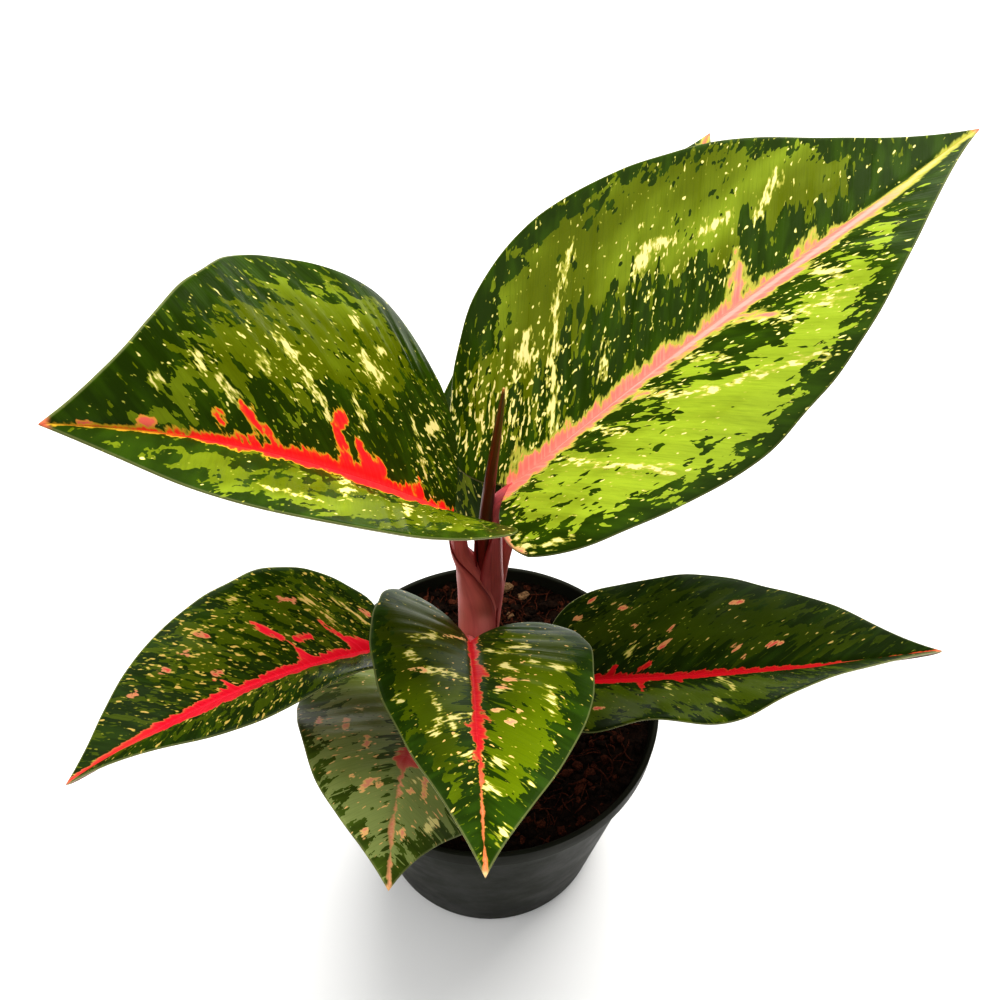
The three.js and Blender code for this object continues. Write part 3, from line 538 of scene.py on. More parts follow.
class Graph:
    """A material made of nodes, with short calls for the usual ones."""

    def __init__(self, name):
        self.material = bpy.data.materials.new(name)
        self.material.use_nodes = True
        self.tree = self.material.node_tree
        self.tree.nodes.clear()
        self.shader = self.node("BsdfPrincipled")
        output = self.node("OutputMaterial")
        self.tree.links.new(self.shader.outputs[0], output.inputs[0])

    def node(self, kind):
        return self.tree.nodes.new("ShaderNode" + kind)

    def put(self, value, socket):
        if isinstance(value, bpy.types.NodeSocket):
            self.tree.links.new(value, socket)
        elif isinstance(value, (tuple, list)) and len(value) == 3 and socket.type == "RGBA":
            socket.default_value = (*value, 1)
        else:
            socket.default_value = value

    def math(self, kind, a, b):
        node = self.node("Math")
        node.operation = kind
        self.put(a, node.inputs[0])
        self.put(b, node.inputs[1])
        return node.outputs[0]

    def add(self, a, b):
        return self.math("ADD", a, b)

    def times(self, a, b):
        return self.math("MULTIPLY", a, b)

    def most(self, a, b):
        return self.math("MAXIMUM", a, b)

    def ramp(self, value, low, high, to_low=0.0, to_high=1.0):
        """Smooth step of value from low to high."""
        node = self.node("MapRange")
        node.interpolation_type = "SMOOTHSTEP"
        for socket, x in zip(node.inputs, (value, low, high, to_low, to_high)):
            self.put(x, socket)
        return node.outputs[0]

    def mix(self, share, a, b):
        node = self.node("Mix")
        node.data_type = "RGBA"
        share_socket, a_socket, b_socket = node.inputs[0], node.inputs[6], node.inputs[7]
        for socket, value in ((share_socket, share), (a_socket, a), (b_socket, b)):
            self.put(value, socket)
        return node.outputs[2]

    def paint(self, under, value, low, high, tint, most=1.0):
        """A tint over a colour where the value goes from low to high."""
        return self.mix(self.ramp(value, low, high, 0, most), under, tint)

    def vector(self, x, y, z=0.0):
        node = self.node("CombineXYZ")
        for socket, value in zip(node.inputs, (x, y, z)):
            self.put(value, socket)
        return node.outputs[0]

    def parts(self, vector):
        node = self.node("SeparateXYZ")
        self.put(vector, node.inputs[0])
        return node.outputs

    def uv(self, name):
        node = self.node("UVMap")
        node.uv_map = name
        return node.outputs[0]

    def place(self):
        """The object's own coordinates, in metres."""
        return self.node("TexCoord").outputs["Object"]

    def field(self, name):
        node = self.node("Attribute")
        node.attribute_name = name
        return node.outputs["Fac"]

    def noise(self, vector, scale, detail, roughness, flat=False):
        node = self.node("TexNoise")
        node.noise_dimensions = "2D" if flat else "3D"
        self.put(vector, node.inputs["Vector"])
        node.inputs["Scale"].default_value = scale
        node.inputs["Detail"].default_value = detail
        node.inputs["Roughness"].default_value = roughness
        return node.outputs["Fac"]

    def flat_noise(self, x, y, x_scale, y_scale, detail=2.0, roughness=0.5, shift=0):
        """Noise over a flat x and y, each with a scale of its own, shifted along x."""
        x = self.times(x, x_scale)
        place = self.vector(self.add(x, shift) if shift else x, self.times(y, y_scale))
        return self.noise(place, 1.0, detail, roughness, flat=True)

    def stretched_noise(self, scale, detail, roughness):
        """Noise in the object's own coordinates with a scale for x, y and z."""
        place = self.vector(*(self.times(a, b) for a, b in zip(self.parts(self.place()), scale)))
        return self.noise(place, 1.0, detail, roughness)

    def swing(self, share, size):
        """A share between 0 and 1 as a swing of the given size about 0."""
        return self.times(self.add(share, -0.5), size)

    def bump(self, height, distance, strength):
        node = self.node("Bump")
        node.inputs["Strength"].default_value = strength
        node.inputs["Distance"].default_value = distance
        self.put(height, node.inputs["Height"])
        self.tree.links.new(node.outputs[0], self.shader.inputs["Normal"])

    def finish(self, colour, roughness, specular):
        self.put(colour, self.shader.inputs["Base Color"])
        self.put(roughness, self.shader.inputs["Roughness"])
        self.shader.inputs["Specular IOR Level"].default_value = specular
        return self.material


def streaks(g, u, v, across, along, seed, detail):
    """Noise drawn out along the side veins; across and along are the sizes of its marks in mm."""
    return g.flat_noise(u, v, 1 / across, 1 / along, detail, 0.5, SEED_STEP * seed)


def upper_material(name, m):
    """The upper face of a blade: light tissue, dark zones, flecks, cream veins and the midrib."""
    g = Graph(f"{name}_upper")
    u, v, _ = g.parts(g.uv("vein"))
    rib, cream, pink, crease = (g.field(key) for key in ("rib", "cream", "pink", "crease"))
    flame, band, fleck, isle = (g.field(key) for key in ("blaze", "band", "fleck", "isle"))
    edge, along, side = (g.field(key) for key in ("edge", "along", "side"))
    (left_u, left_v), (right_u, right_v) = m["grain"]
    u = g.times(u, g.ramp(side, -0.05, 0.05, right_u, left_u))
    v = g.times(v, g.ramp(side, -0.05, 0.05, right_v, left_v))

    def streak(across, length, offset, detail):
        return streaks(g, u, v, across, length, m["seed"] + offset, detail)

    cloud = g.flat_noise(u, v, 1 / 26, 1 / 20)
    # Each half's tone: partly the tissue's own colour, partly painted shade on a half that faces
    # away from the light, with random clouds
    left_tone_and_shade, right_tone_and_shade = m["tone_and_shade"]
    tone_and_shade = g.add(g.ramp(side, -1, 1, right_tone_and_shade, left_tone_and_shade), g.swing(cloud, 1.2))
    tone_and_shade = g.add(tone_and_shade, g.ramp(along, 0.15, 0.7, m["slant"], -m["slant"]))
    light = g.mix(g.ramp(tone_and_shade, 0, 1), *m["light"])
    colour = g.paint(light, streak(0.6, 8, 1, 3), 0.45, 0.75, m["dark"], 0.14)

    # Dark zones: a flame beside the midrib with teeth along the veins, and a blotchy margin
    teeth = g.swing(streak(*m["tooth"], 0, 3), m["teeth"])
    blotch = g.swing(g.flat_noise(u, v, 1 / 5.5, 1 / 5, 3.5, 0.62, m["seed"]), m["blotch"])
    flame, band = g.add(flame, teeth), g.add(band, blotch)
    dark = g.most(g.ramp(flame, -0.25, 0.25), g.ramp(band, -0.25, 0.25))
    islands = g.add(streak(3.0, 3.8, 5, 2), g.times(isle, 0.24))
    dark = g.most(dark, g.ramp(islands, 0.775, 0.785))
    holes = g.add(streak(*m["hole"], 9, 2.5), g.times(fleck, 0.1))
    dark = g.times(dark, g.ramp(holes, 0.675, 0.69, 1, 0))
    less_dark = tuple(1.7 * c for c in m["dark"])
    colour = g.mix(dark, colour, g.paint(m["dark"], streak(5, 16, 12, 2), 0.4, 0.7, less_dark))

    # Flecks: lime streaks with cream hearts, and rounder cream spots
    specks = g.add(streak(*m["speck"], 14, 2.5), g.times(fleck, 0.17))
    colour = g.paint(colour, specks, 0.715, 0.74, m["halo"], 0.8)
    colour = g.paint(colour, specks, 0.755, 0.785, m["fleck_colour"])
    spots = g.add(streak(1.9, 2.2, 21, 1), g.times(fleck, 0.13))
    colour = g.paint(colour, spots, 0.745, 0.765, m["halo"], 0.7)
    colour = g.paint(colour, spots, 0.775, 0.80, m["fleck_colour"])

    # Cream veins and pink marks drawn one by one
    rough_edge = g.times(g.add(streak(1.4, 3.6, 30, 2), -0.46), 7)
    drawn = g.add(cream, rough_edge)
    colour = g.paint(colour, drawn, 1.0, 0.3, m["halo"], 0.75)
    colour = g.paint(colour, drawn, 0.25, -0.3, m["cream_colour"])
    marked = g.add(pink, g.times(rough_edge, 0.35))
    colour = g.paint(colour, marked, 0.45, 0.15, m["mark_rim"])
    colour = g.paint(colour, marked, 0.0, -0.4, m["mark"])

    # Midrib with its jagged fringe, calmer and of another colour towards the tip
    jag = g.swing(streak(3.4, 7, 40, 2.5), m["jag"])
    jag = g.add(jag, g.swing(streak(0.9, 3, 44, 2), 0.4 * m["jag"]))
    ragged = g.add(rib, g.times(jag, g.ramp(along, 0.6, 0.9, 1, 0.35)))
    fringe, until = m["fringe_width"], m["core_until"]
    colour = g.paint(colour, ragged, fringe, 0.45 * fringe, m["fringe"], 0.9)
    core = g.paint(m["core"], along, until - 0.08, until + 0.06, m["core_tip"])
    core = g.paint(core, streak(1.0, 40, 50, 2), 0.45, 0.7, m["core_pale"], 0.4)
    core = g.paint(core, ragged, -1.2, 0.2, m["core_rim"], 0.55)
    palest = tuple(min(1, 0.75 * c + 0.24) for c in m["core_pale"])
    core = g.paint(core, crease, 1.0, 0.1, palest, 0.4)
    colour = g.paint(colour, ragged, 0.45, -0.2, core)
    colour = g.paint(colour, edge, 0.5, 0.2, UPPER_MARGIN, 0.5)
    colour = g.paint(colour, along, 0.982, 0.995, m["tip"])

    veins = g.flat_noise(u, v, 1 / 0.8, 1 / 26)
    g.bump(g.add(veins, g.times(cloud, 2)), 0.0002, 0.3)
    return g.finish(colour, g.ramp(cloud, 0.3, 0.7, 0.27, 0.36), m["gloss"])


def under_material(name, m):
    """The under face of a blade: paler and duller, with the markings showing through."""
    g = Graph(f"{name}_under")
    u, v, _ = g.parts(g.uv("vein"))
    seed = m["seed"] + UNDER_SEED
    rib, flame, band, edge = (g.field(key) for key in ("rib", "blaze", "band", "edge"))
    pale = tuple(0.5 * a + 0.08 * b for a, b in zip(m["light"][1], (1.0, 1.0, 0.6)))
    deep = tuple(2.2 * c + 0.012 for c in m["dark"])
    core = tuple(0.55 * c + 0.08 for c in m["core"])
    teeth = g.swing(streaks(g, u, v, 3, 16, seed, 2), m["teeth"])
    blotch = g.swing(g.flat_noise(u, v, 1 / 6, 1 / 6, 3.0), m["blotch"])
    dark = g.most(g.ramp(g.add(flame, teeth), -2, 2), g.ramp(g.add(band, blotch), -2, 2))
    fine = streaks(g, u, v, 0.8, 20, seed + 3, 2)
    colour = g.mix(g.times(dark, 0.85), pale, deep)
    colour = g.paint(colour, fine, 0.5, 0.75, UNDER_VEINS, 0.35)
    colour = g.paint(colour, g.add(rib, g.swing(fine, 3)), 0.8, -1.2, core)
    colour = g.paint(colour, edge, 0.6, 0.2, UNDER_MARGIN)
    g.bump(fine, 0.0003, 0.4)
    return g.finish(colour, g.ramp(fine, 0.3, 0.7, 0.42, 0.52), 0.35)


# Blades

def midrib(leaf):
    """Shares along the midrib with its points, forward, left and up directions."""
    behind, ahead = MIDRIB_STEPS
    step = 1 / ahead

    def turn(share):
        t = np.maximum(share, 0)
        pitch = np.radians(leaf["pitch"] - leaf["droop"] * t**DROOP_POWER)
        azimuth = np.radians(leaf["azimuth"] + leaf["swerve"] * t)
        cos, sin = np.cos(azimuth), np.sin(azimuth)
        forward = np.stack([np.cos(pitch) * cos, np.cos(pitch) * sin, np.sin(pitch)], -1)
        level = np.stack([-sin, cos, np.zeros_like(azimuth)], -1)
        roll = np.radians(leaf["roll"] + leaf["twist"] * t)[:, None]
        left = level * np.cos(roll) + np.cross(forward, level) * np.sin(roll)
        return forward, left, np.cross(forward, left)

    shares = np.arange(-behind, ahead + 1) * step
    forward, left, up = turn(shares)
    walk = turn(shares[:-1] + step / 2)[0] * step * leaf["length"]
    points = np.vstack([np.zeros(3), np.cumsum(walk, 0)])
    points += np.array(leaf["base"], float) - points[behind]
    return shares, points, forward, left, up


def blade_surface(leaf, along, across):
    """Points and upward normals of the bent blade at along / length and across / half width."""
    shares, *lines = midrib(leaf)
    at = [np.stack([np.interp(along, shares, line[:, k]) for k in range(3)], -1) for line in lines]
    point, left, up = at[0], unit(at[2]), unit(at[3])
    right = across < 0
    sign = np.where(right, -1.0, 1.0)
    reach = np.abs(across)

    def pick(key):
        return np.where(right, leaf[key][1], leaf[key][0])

    fold = np.radians(pick("fold")) * (1 - FOLD_LOSS * np.clip(along, 0, 1))
    curl = np.radians(pick("curl"))
    slope = fold - curl * reach
    out = (np.sin(fold) - np.sin(slope)) / curl
    lift = (np.cos(slope) - np.cos(fold)) / curl
    swing = 2 * np.pi * leaf["waves"] * along + np.radians(pick("phase"))
    wave = pick("wave") * reach**2 * np.sin(swing)
    half = pick("half")
    point = point + (sign * out * half)[..., None] * left + (lift * half + wave)[..., None] * up
    normal = up * np.cos(slope)[..., None] - left * (sign * np.sin(slope))[..., None]
    return point, normal


def half_rows(leaf, tau, side):
    """Each row's start on the midrib and its end on the margin, for one side."""
    edge = catmull(HALF_OUTLINE, tau)
    x, y = edge[:, 0], edge[:, 1]
    start = np.maximum(0, x - VEIN_LEAD * y) + VEIN_SPREAD * tau * (1 - tau)
    waver = wander(tau, 11 * side + int(leaf["length"]), 7, 5)
    wobble = 1 + MARGIN_WOBBLE * waver * np.sin(np.pi * tau)
    end_along = np.where(x < 0, x * leaf["lobe"][side] * leaf.get("reach", (1, 1))[side], x)
    end_across = y * (1 - leaf["taper"][side] * np.maximum(0, 1 - x / TAPER_REACH) ** 2) * wobble
    return start, end_along, end_across


def distance_to_path(x, y, path):
    """Distance in mm from points to a path, and how far along it the nearest place is."""
    best = np.full(x.shape, 1e9)
    where = np.zeros(x.shape)
    spans = len(path) - 1
    for i in range(spans):
        (ax, ay), (bx, by) = path[i], path[i + 1]
        dx, dy = bx - ax, by - ay
        t = np.clip(((x - ax) * dx + (y - ay) * dy) / max(dx * dx + dy * dy, 1e-9), 0, 1)
        d = np.hypot(x - ax - t * dx, y - ay - t * dy)
        nearer = d < best
        best = np.where(nearer, d, best)
        where = np.where(nearer, (i + t) / spans, where)
    return best, where


def distance_to_marks(x, y, marks):
    """Signed distance to the nearest of several tapering strokes."""
    best = np.full(x.shape, FAR)
    for *path, wide, narrow in marks:
        d, where = distance_to_path(x, y, path)
        best = np.minimum(best, d - STROKE_SHARE * (wide + (narrow - wide) * where))
    return best


def soft_spot(x, y, centre_x, centre_y, radius, strength):
    """A soft round spot."""
    return strength * np.exp(-((x - centre_x) ** 2 + (y - centre_y) ** 2) / radius**2)


def marking_fields(leaf, m, x, y, outline):
    """The smooth fields that the blade's materials turn into jagged markings."""
    def profile(rows, column):
        rows = np.array(rows, float)
        return np.interp(x, rows[:, 0], rows[:, column])

    edge = np.full(x.shape, FAR)
    for line in outline:
        edge = np.minimum(edge, distance_to_path(x, y, line)[0])
    rib = np.maximum(y - profile(m["rib"], 1), profile(m["rib"], 2) - y)
    rib = np.minimum(rib, distance_to_marks(x, y, m["branches"]))
    rib = np.where(x < 0, np.maximum(rib, 0.6 * -x - 3.5), rib)
    fleck = np.full(x.shape, float(m["fleck"]))
    for place in m["fleck_spots"]:
        fleck += soft_spot(x, y, *place)
    isle = np.zeros(x.shape)
    for place in m["isles"]:
        isle = np.maximum(isle, soft_spot(x, y, *place))
    return {
        "crease": distance_to_marks(x, y, m["creases"]),
        "isle": isle,
        "rib": rib,
        "cream": distance_to_marks(x, y, m["lines"]),
        "pink": distance_to_marks(x, y, m["pinks"]),
        "blaze": np.minimum(profile(m["flame"], 1) - y, y - profile(m["flame"], 2)),
        "band": np.where(y > 0, profile(m["band"], 1), profile(m["band"], 2)) - edge,
        "edge": edge,
        "fleck": fleck,
        "along": x / leaf["length"],
        "side": np.clip(y / SIDE_BLEND, -1, 1),
    }


def vein_station(leaf, m, x, y):
    """How far along the midrib the side vein through a point starts, in mm."""
    lead = np.where(y > 0, m["lead"][0], m["lead"][1]) + m["bend"] * x / leaf["length"]
    return x - np.abs(y) * lead


def relief(leaf, m, x, y, edge):
    """Height of the quilted face over the plain blade: sunk side veins and a midrib channel."""
    far = np.abs(y)
    station = vein_station(leaf, m, x, y)
    drift = 1.6 * np.sin(station * 0.21 + m["seed"]) + 1.1 * np.sin(station * 0.53 + 2 * m["seed"])
    turn = 2 * np.pi * (station + drift) / VEIN_SPACING
    groove = np.exp(-((np.mod(turn + np.pi, 2 * np.pi)) / 0.5) ** 2)
    quilt = QUILT_RISE * np.cos(turn) - GROOVE_DEPTH * groove
    quilt *= smoothstep(2, 14, far) * smoothstep(0.5, 9, edge)
    shrink = 1 - 0.6 * np.clip(x / leaf["length"], 0, 1)
    channel = -CHANNEL_DEPTH * shrink * np.exp(-((y / (1.7 * shrink)) ** 2))
    shoulder = SHOULDER_RISE * shrink * np.exp(-(((far - 3.6 * shrink) / 1.6) ** 2))
    swell = SWELL_RISE * wander((x + 0.6 * y) / 160, m["seed"] + 5, 4, 1.2) * smoothstep(3, 16, far)
    return quilt + (channel + shoulder) * smoothstep(0, 4, edge) + swell


def blade_grid(leaf, rows, columns):
    """Where each grid point lies along and across the flat blade, and both margins in mm."""
    tau = np.linspace(0, 1, rows + 1)
    shares = np.append(np.linspace(0, LAST_COLUMN, columns), 1)
    along = np.zeros((rows + 1, 2 * columns + 1))
    across = np.zeros_like(along)
    margins = []
    for side, sign in ((0, 1), (1, -1)):
        start, end_along, end_across = half_rows(leaf, tau, side)
        place = columns + sign * np.arange(columns + 1)
        along[:, place] = start[:, None] + (end_along - start)[:, None] * shares
        across[:, place] = sign * end_across[:, None] * shares
        margin = (end_along * leaf["length"], sign * end_across * leaf["half"][side])
        margins.append(np.stack(margin, -1)[::2])
    along[0], across[0], along[-1], across[-1] = 0, 0, 1, 0
    return along, across, margins


def quads(grid):
    """The corners of each cell of a grid of point numbers."""
    return np.stack([grid[:-1, :-1], grid[1:, :-1], grid[1:, 1:], grid[:-1, 1:]], -1).reshape(-1, 4)


def blade_faces(rows, columns):
    """Faces of both sides, 0 above and 1 below, joined at the margins and at both ends.

    Each corner also gets its place in the grid and its half, 0 left and 1 right.
    """
    width = 2 * columns + 1
    count = (rows + 1) * width
    cells = np.arange(count).reshape(rows + 1, width)
    above = cells.copy()
    above[0], above[-1] = above[0, 0], above[-1, 0]
    below = above + count
    below[:, 0], below[:, -1] = above[:, 0], above[:, -1]
    below[0], below[-1] = above[0, 0], above[-1, 0]
    halves = np.tile(np.where(np.arange(width - 1) < columns, 1, 0), rows)
    faces, kinds, corner_cells, corner_halves = [], [], [], []
    for kind, grid in ((0, above), (1, below)):
        for quad, cell, half in zip(quads(grid).tolist(), quads(cells).tolist(), halves.tolist()):
            if kind:
                quad, cell = quad[::-1], cell[::-1]
            kept = [k for k in range(4) if quad[k] not in quad[:k]]
            if len(kept) < 3:
                continue
            faces.append([quad[k] for k in kept])
            kinds.append(kind)
            corner_cells.extend(cell[k] for k in kept)
            corner_halves.extend([half] * len(kept))
    return faces, kinds, np.array(corner_cells), np.array(corner_halves)


def build_blade(name, leaf, m):
    leaf = {**leaf, "reach": LOBE_REACH.get(name, (1, 1))}
    m = {**MARKING_DEFAULTS, **m}
    left_half, right_half = leaf["half"]
    rows, columns = int(leaf["length"] * ROWS_PER_MM), int(max(leaf["half"]) * COLUMNS_PER_MM)
    along, across, margins = blade_grid(leaf, rows, columns)
    x = along * leaf["length"]
    y = across * np.where(across < 0, right_half, left_half)
    fields = marking_fields(leaf, m, x, y, margins)
    edge = fields["edge"]
    edge[:, [0, -1]] = 0

    # Both faces, with the keel of the midrib below
    point, normal = blade_surface(leaf, along, across)
    high = relief(leaf, m, x, y, edge)
    half_thickness = BLADE_THICKNESS / 2 * np.sqrt(np.clip(edge / EDGE_ROUNDING, 0, 1))
    t = np.clip(x / leaf["length"], 0, 1)
    from_rib = np.pi * np.clip(np.abs(y) / (KEEL_WIDTH * (1 - KEEL_NARROWING * t)), 0, 1)
    keel = (RIB_TIP_DEPTH + RIB_DEPTH * (1 - t)) * 0.5 * (1 + np.cos(from_rib))
    keel *= smoothstep(0, 2, edge + 0.3 * (x > 0))
    upper = point + normal * (high + half_thickness)[..., None]
    lower = point + normal * (high - half_thickness - keel)[..., None]
    upper[[0, -1]], lower[[0, -1]] = upper[[0, -1], :1], lower[[0, -1], :1]
    points = np.concatenate([upper.reshape(-1, 3), lower.reshape(-1, 3)])

    faces, kinds, cells, halves = blade_faces(rows, columns)
    used = np.unique(np.concatenate([np.array(face) for face in faces]))
    renumber = np.full(len(points), -1)
    renumber[used] = np.arange(len(used))
    faces = [renumber[face].tolist() for face in faces]

    # Texture coordinates: the upper face takes the upper half of the bake's square
    corner_kinds = np.repeat(np.array(kinds), [len(face) for face in faces])
    cx, cy = x.ravel()[cells], y.ravel()[cells]
    signed = np.where(halves == 1, -1, 1) * (np.abs(cy) + OFF_RIB)
    vein_uv = np.stack([vein_station(leaf, m, cx, signed), np.abs(cy) + RIGHT_SHIFT * halves], -1)
    bake_u = BAKE_EDGE + (1 - 2 * BAKE_EDGE) * (cx - x.min()) / (x.max() - x.min())
    bake_v = (0.5 - 2 * BAKE_EDGE) * (cy + right_half) / (left_half + right_half)
    bake_v = BAKE_EDGE + bake_v + 0.5 * (1 - corner_kinds)
    return make_piece(
        f"leaf_{name}", points[used], faces, [upper_material(name, m), under_material(name, m)],
        f"blade_{name}", kinds,
        uvs={"OFBake": np.stack([bake_u, bake_v], -1), "vein": vein_uv},
        fields={key: np.tile(value.ravel(), 2)[used] for key, value in fields.items()},
    )


# Tubes

def tube_frames(line, steps):
    """Shares, centres, radii and two cross directions along a line of x, y, z and radius."""
    t = np.linspace(0, 1, steps + 1)
    path = catmull(line, t)
    centre, radius = path[:, :3], path[:, 3]
    forward = unit(np.gradient(centre, axis=0))
    side = unit(np.cross(np.array([0.0, 1.0, 0.0]), forward))
    return t, centre, radius, side, np.cross(forward, side)


def turns(sides):
    """The angles of the corners of a ring."""
    return np.linspace(0, 2 * np.pi, sides, endpoint=False)


def ring(centre, side, front, radius, angle):
    """Points round a centre, in the plane of two directions."""
    across, ahead = (radius * np.cos(angle))[:, None], (radius * np.sin(angle))[:, None]
    return centre + side * across + front * ahead


def ring_faces(steps, sides, offset=0):
    """Faces between rings in a row, closed by a cap at each end."""
    faces = []
    for i in range(steps):
        for j in range(sides):
            a, b = offset + i * sides + j, offset + i * sides + (j + 1) % sides
            faces.append([a, b, b + sides, a + sides])
    faces.append([offset + j for j in reversed(range(sides))])
    faces.append([offset + steps * sides + j for j in range(sides)])
    return faces


def stalk_line(leaf):
    """The stalk's centre line and radii, up to where it runs into the blade's midrib."""
    shares, points, forward, _, up = midrib(leaf)
    k = int(np.argmin(np.abs(shares)))
    end = points[k] - up[k] * STALK_SINK + forward[k] * STALK_REACH
    before = end - forward[k] * STALK_STRAIGHT
    return [*leaf["stalk"], (*before, STALK_END_RADIUS + STALK_FLARE), (*end, STALK_END_RADIUS)]


def stalk_material(name, tint, foot_tint):
    """Dusty rose stalk with fine lengthwise streaks, paler towards the foot and red at the top."""
    g = Graph(name)
    run, turn, rim = g.field("run"), g.field("turn"), g.field("rim")
    lines = g.flat_noise(turn, run, 5.5, 2.2, 4.0, 0.6)
    cloud = g.flat_noise(turn, run, 1.1, 5)
    darker, lighter = tuple(0.55 * c for c in tint), tuple(min(1, 1.3 * c + 0.05) for c in tint)
    colour = g.paint(foot_tint, run, 0.0, 0.8, tint)
    colour = g.paint(colour, lines, 0.35, 0.7, darker, 0.45)
    colour = g.paint(colour, cloud, 0.45, 0.75, lighter, 0.4)
    colour = g.paint(colour, run, 0.9, 1.0, STALK_TOP, 0.8)
    # Painted shade: a dark red on the sheath margins, partly the inner face's own red and partly
    # the shade that falls on it
    colour = g.mix(rim, colour, SHEATH_MARGIN_SHADE)
    g.bump(lines, 0.0002, 0.5)
    return g.finish(colour, g.ramp(cloud, 0.3, 0.7, 0.38, 0.5), 0.4)


def build_stalk(name, leaf, material, sheaths=()):
    line = stalk_line(leaf)
    steps, sides = STALK_STEPS * (len(line) - 1), STALK_SIDES
    t, centre, radius, side, front = tube_frames(line, steps)
    turn = turns(sides)
    ridges = 1 + 0.018 * np.cos(5 * turn + 1.3) + 0.012 * np.cos(9 * turn)
    rings = [ring(*frame, r * ridges, turn) for *frame, r in zip(centre, side, front, radius)]
    points = np.concatenate(rings)
    faces = ring_faces(steps, sides)
    run, around = np.repeat(t, sides), np.tile(np.cos(turn) + 2, steps + 1)
    rim = np.zeros(len(points))
    for sheath in sheaths:
        more = sheath_shell(sheath, sheath.get("line", line), len(points))
        shell_points, shell_faces, shell_run, shell_around, shell_rim = more
        points = np.vstack([points, shell_points])
        faces += shell_faces
        run, around = np.append(run, shell_run), np.append(around, shell_around)
        rim = np.append(rim, shell_rim)
    return make_piece(
        f"petiole_{name}", points, faces, [material], f"stalk_{name}",
        fields={"run": run, "turn": around, "rim": rim},
    )


def sheath_shell(s, line, offset):
    """A thin sleeve wrapped round part of a line, with margins that draw back towards its top."""
    t, centre, radius, side, front = tube_frames(line, SHEATH_STEPS)
    inside = np.flatnonzero((centre[:, 2] >= s["low"]) & (centre[:, 2] <= s["high"]))
    share = np.linspace(-1, 1, SHEATH_COLUMNS + 1)
    rows = []
    for i in inside:
        rise = (centre[i, 2] - s["low"]) / (s["high"] - s["low"])
        half = np.radians(s["half"]) * (1 - rise ** s["hold"]) ** 0.6 + 0.02
        angle = np.radians(s["middle"]) + half * share
        lift = s["lift"] * (1 + 0.5 * share**4)
        for grow in (lift, lift - SHEATH_THICKNESS):
            rows.append(ring(centre[i], side[i], front[i], radius[i] + grow, angle))
    rows = np.array(rows).reshape(len(inside), 2, len(share), 3)
    loops = np.concatenate([rows[:, 0], rows[:, 1, ::-1]], 1)
    out_and_back = np.concatenate([share, share[::-1]])
    faces = ring_faces(len(inside) - 1, len(out_and_back), offset)
    run = np.repeat(t[inside], len(out_and_back))
    around = np.tile(out_and_back + 5, len(inside))
    # Where the margins are, which the stalk's material paints dark red: partly the inner face's
    # red, partly painted shade
    rim = np.tile(smoothstep(0.88, 0.95, np.abs(out_and_back)), len(inside))
    return loops.reshape(-1, 3), faces, run, around, rim


def build_new_leaf():
    t, centre, radius, side, front = tube_frames(NEW_LEAF, ROLL_STEPS)
    turn = turns(ROLL_SIDES)
    points, laps = [], []
    for i in range(ROLL_STEPS + 1):
        lap = np.mod(turn - (0.9 + 2.4 * t[i]), 2 * np.pi) / (2 * np.pi)
        points.append(ring(centre[i], side[i], front[i], radius[i] * (0.88 + 0.2 * lap), turn))
        laps.append(lap)
    g = Graph("new_leaf_skin")
    along, lap = g.field("run"), g.field("lap")
    lines = g.flat_noise(lap, along, 9, 1.5, 4.0, 0.6)
    colour = g.paint((0.085, 0.020, 0.007), along, 0.45, 0.95, (0.10, 0.060, 0.010))
    colour = g.paint(colour, along, 0.36, 0.22, (0.17, 0.012, 0.013))
    colour = g.paint(colour, lines, 0.4, 0.7, (0.030, 0.012, 0.004), 0.6)
    colour = g.paint(colour, along, 0.95, 0.99, (0.42, 0.22, 0.06))
    colour = g.paint(colour, lap, 0.93, 0.985, (0.26, 0.10, 0.04), 0.7)
    g.bump(lines, 0.0002, 0.4)
    material = g.finish(colour, g.ramp(lines, 0.3, 0.7, 0.32, 0.45), 0.45)
    return make_piece(
        "rolled_leaf", np.concatenate(points), ring_faces(ROLL_STEPS, ROLL_SIDES), [material],
        "new_leaf_roll",
        fields={"run": np.repeat(t, ROLL_SIDES), "lap": np.concatenate(laps)},
    )


# Cane, pot and potting mix

def lathe(profile, segments):
    """Points and faces of a profile of radius and height turned round the upright axis."""
    turn = turns(segments)
    rings = [
        np.stack([r * np.cos(turn), r * np.sin(turn), np.full(segments, z)], -1)
        for r, z in np.asarray(profile, float)
    ]
    return np.concatenate(rings), ring_faces(len(profile) - 1, segments)


def rounded(profile, radius, steps=4):
    """A profile with its inner corners rounded off by the given radius."""
    out = [profile[0]]
    for before, corner, after in zip(profile[:-2], profile[1:-1], profile[2:]):
        p, c, n = (np.array(v, float) for v in (before, corner, after))
        reach = min(radius, 0.45 * np.linalg.norm(p - c), 0.45 * np.linalg.norm(n - c))
        a = c + unit(p - c) * reach
        b = c + unit(n - c) * reach
        for k in range(steps + 1):
            s = k / steps
            out.append(tuple((1 - s) ** 2 * a + 2 * s * (1 - s) * c + s**2 * b))
    out.append(profile[-1])
    return out


def scar_bulge(z):
    """How far the cane swells at its leaf scars, with a groove above each."""
    swell = 0
    for scar in LEAF_SCARS:
        ridge, groove = ((z - scar) / 0.9) ** 2, ((z - scar - 1.8) / 0.7) ** 2
        swell += 0.55 * math.exp(-ridge) - 0.35 * math.exp(-groove)
    return swell


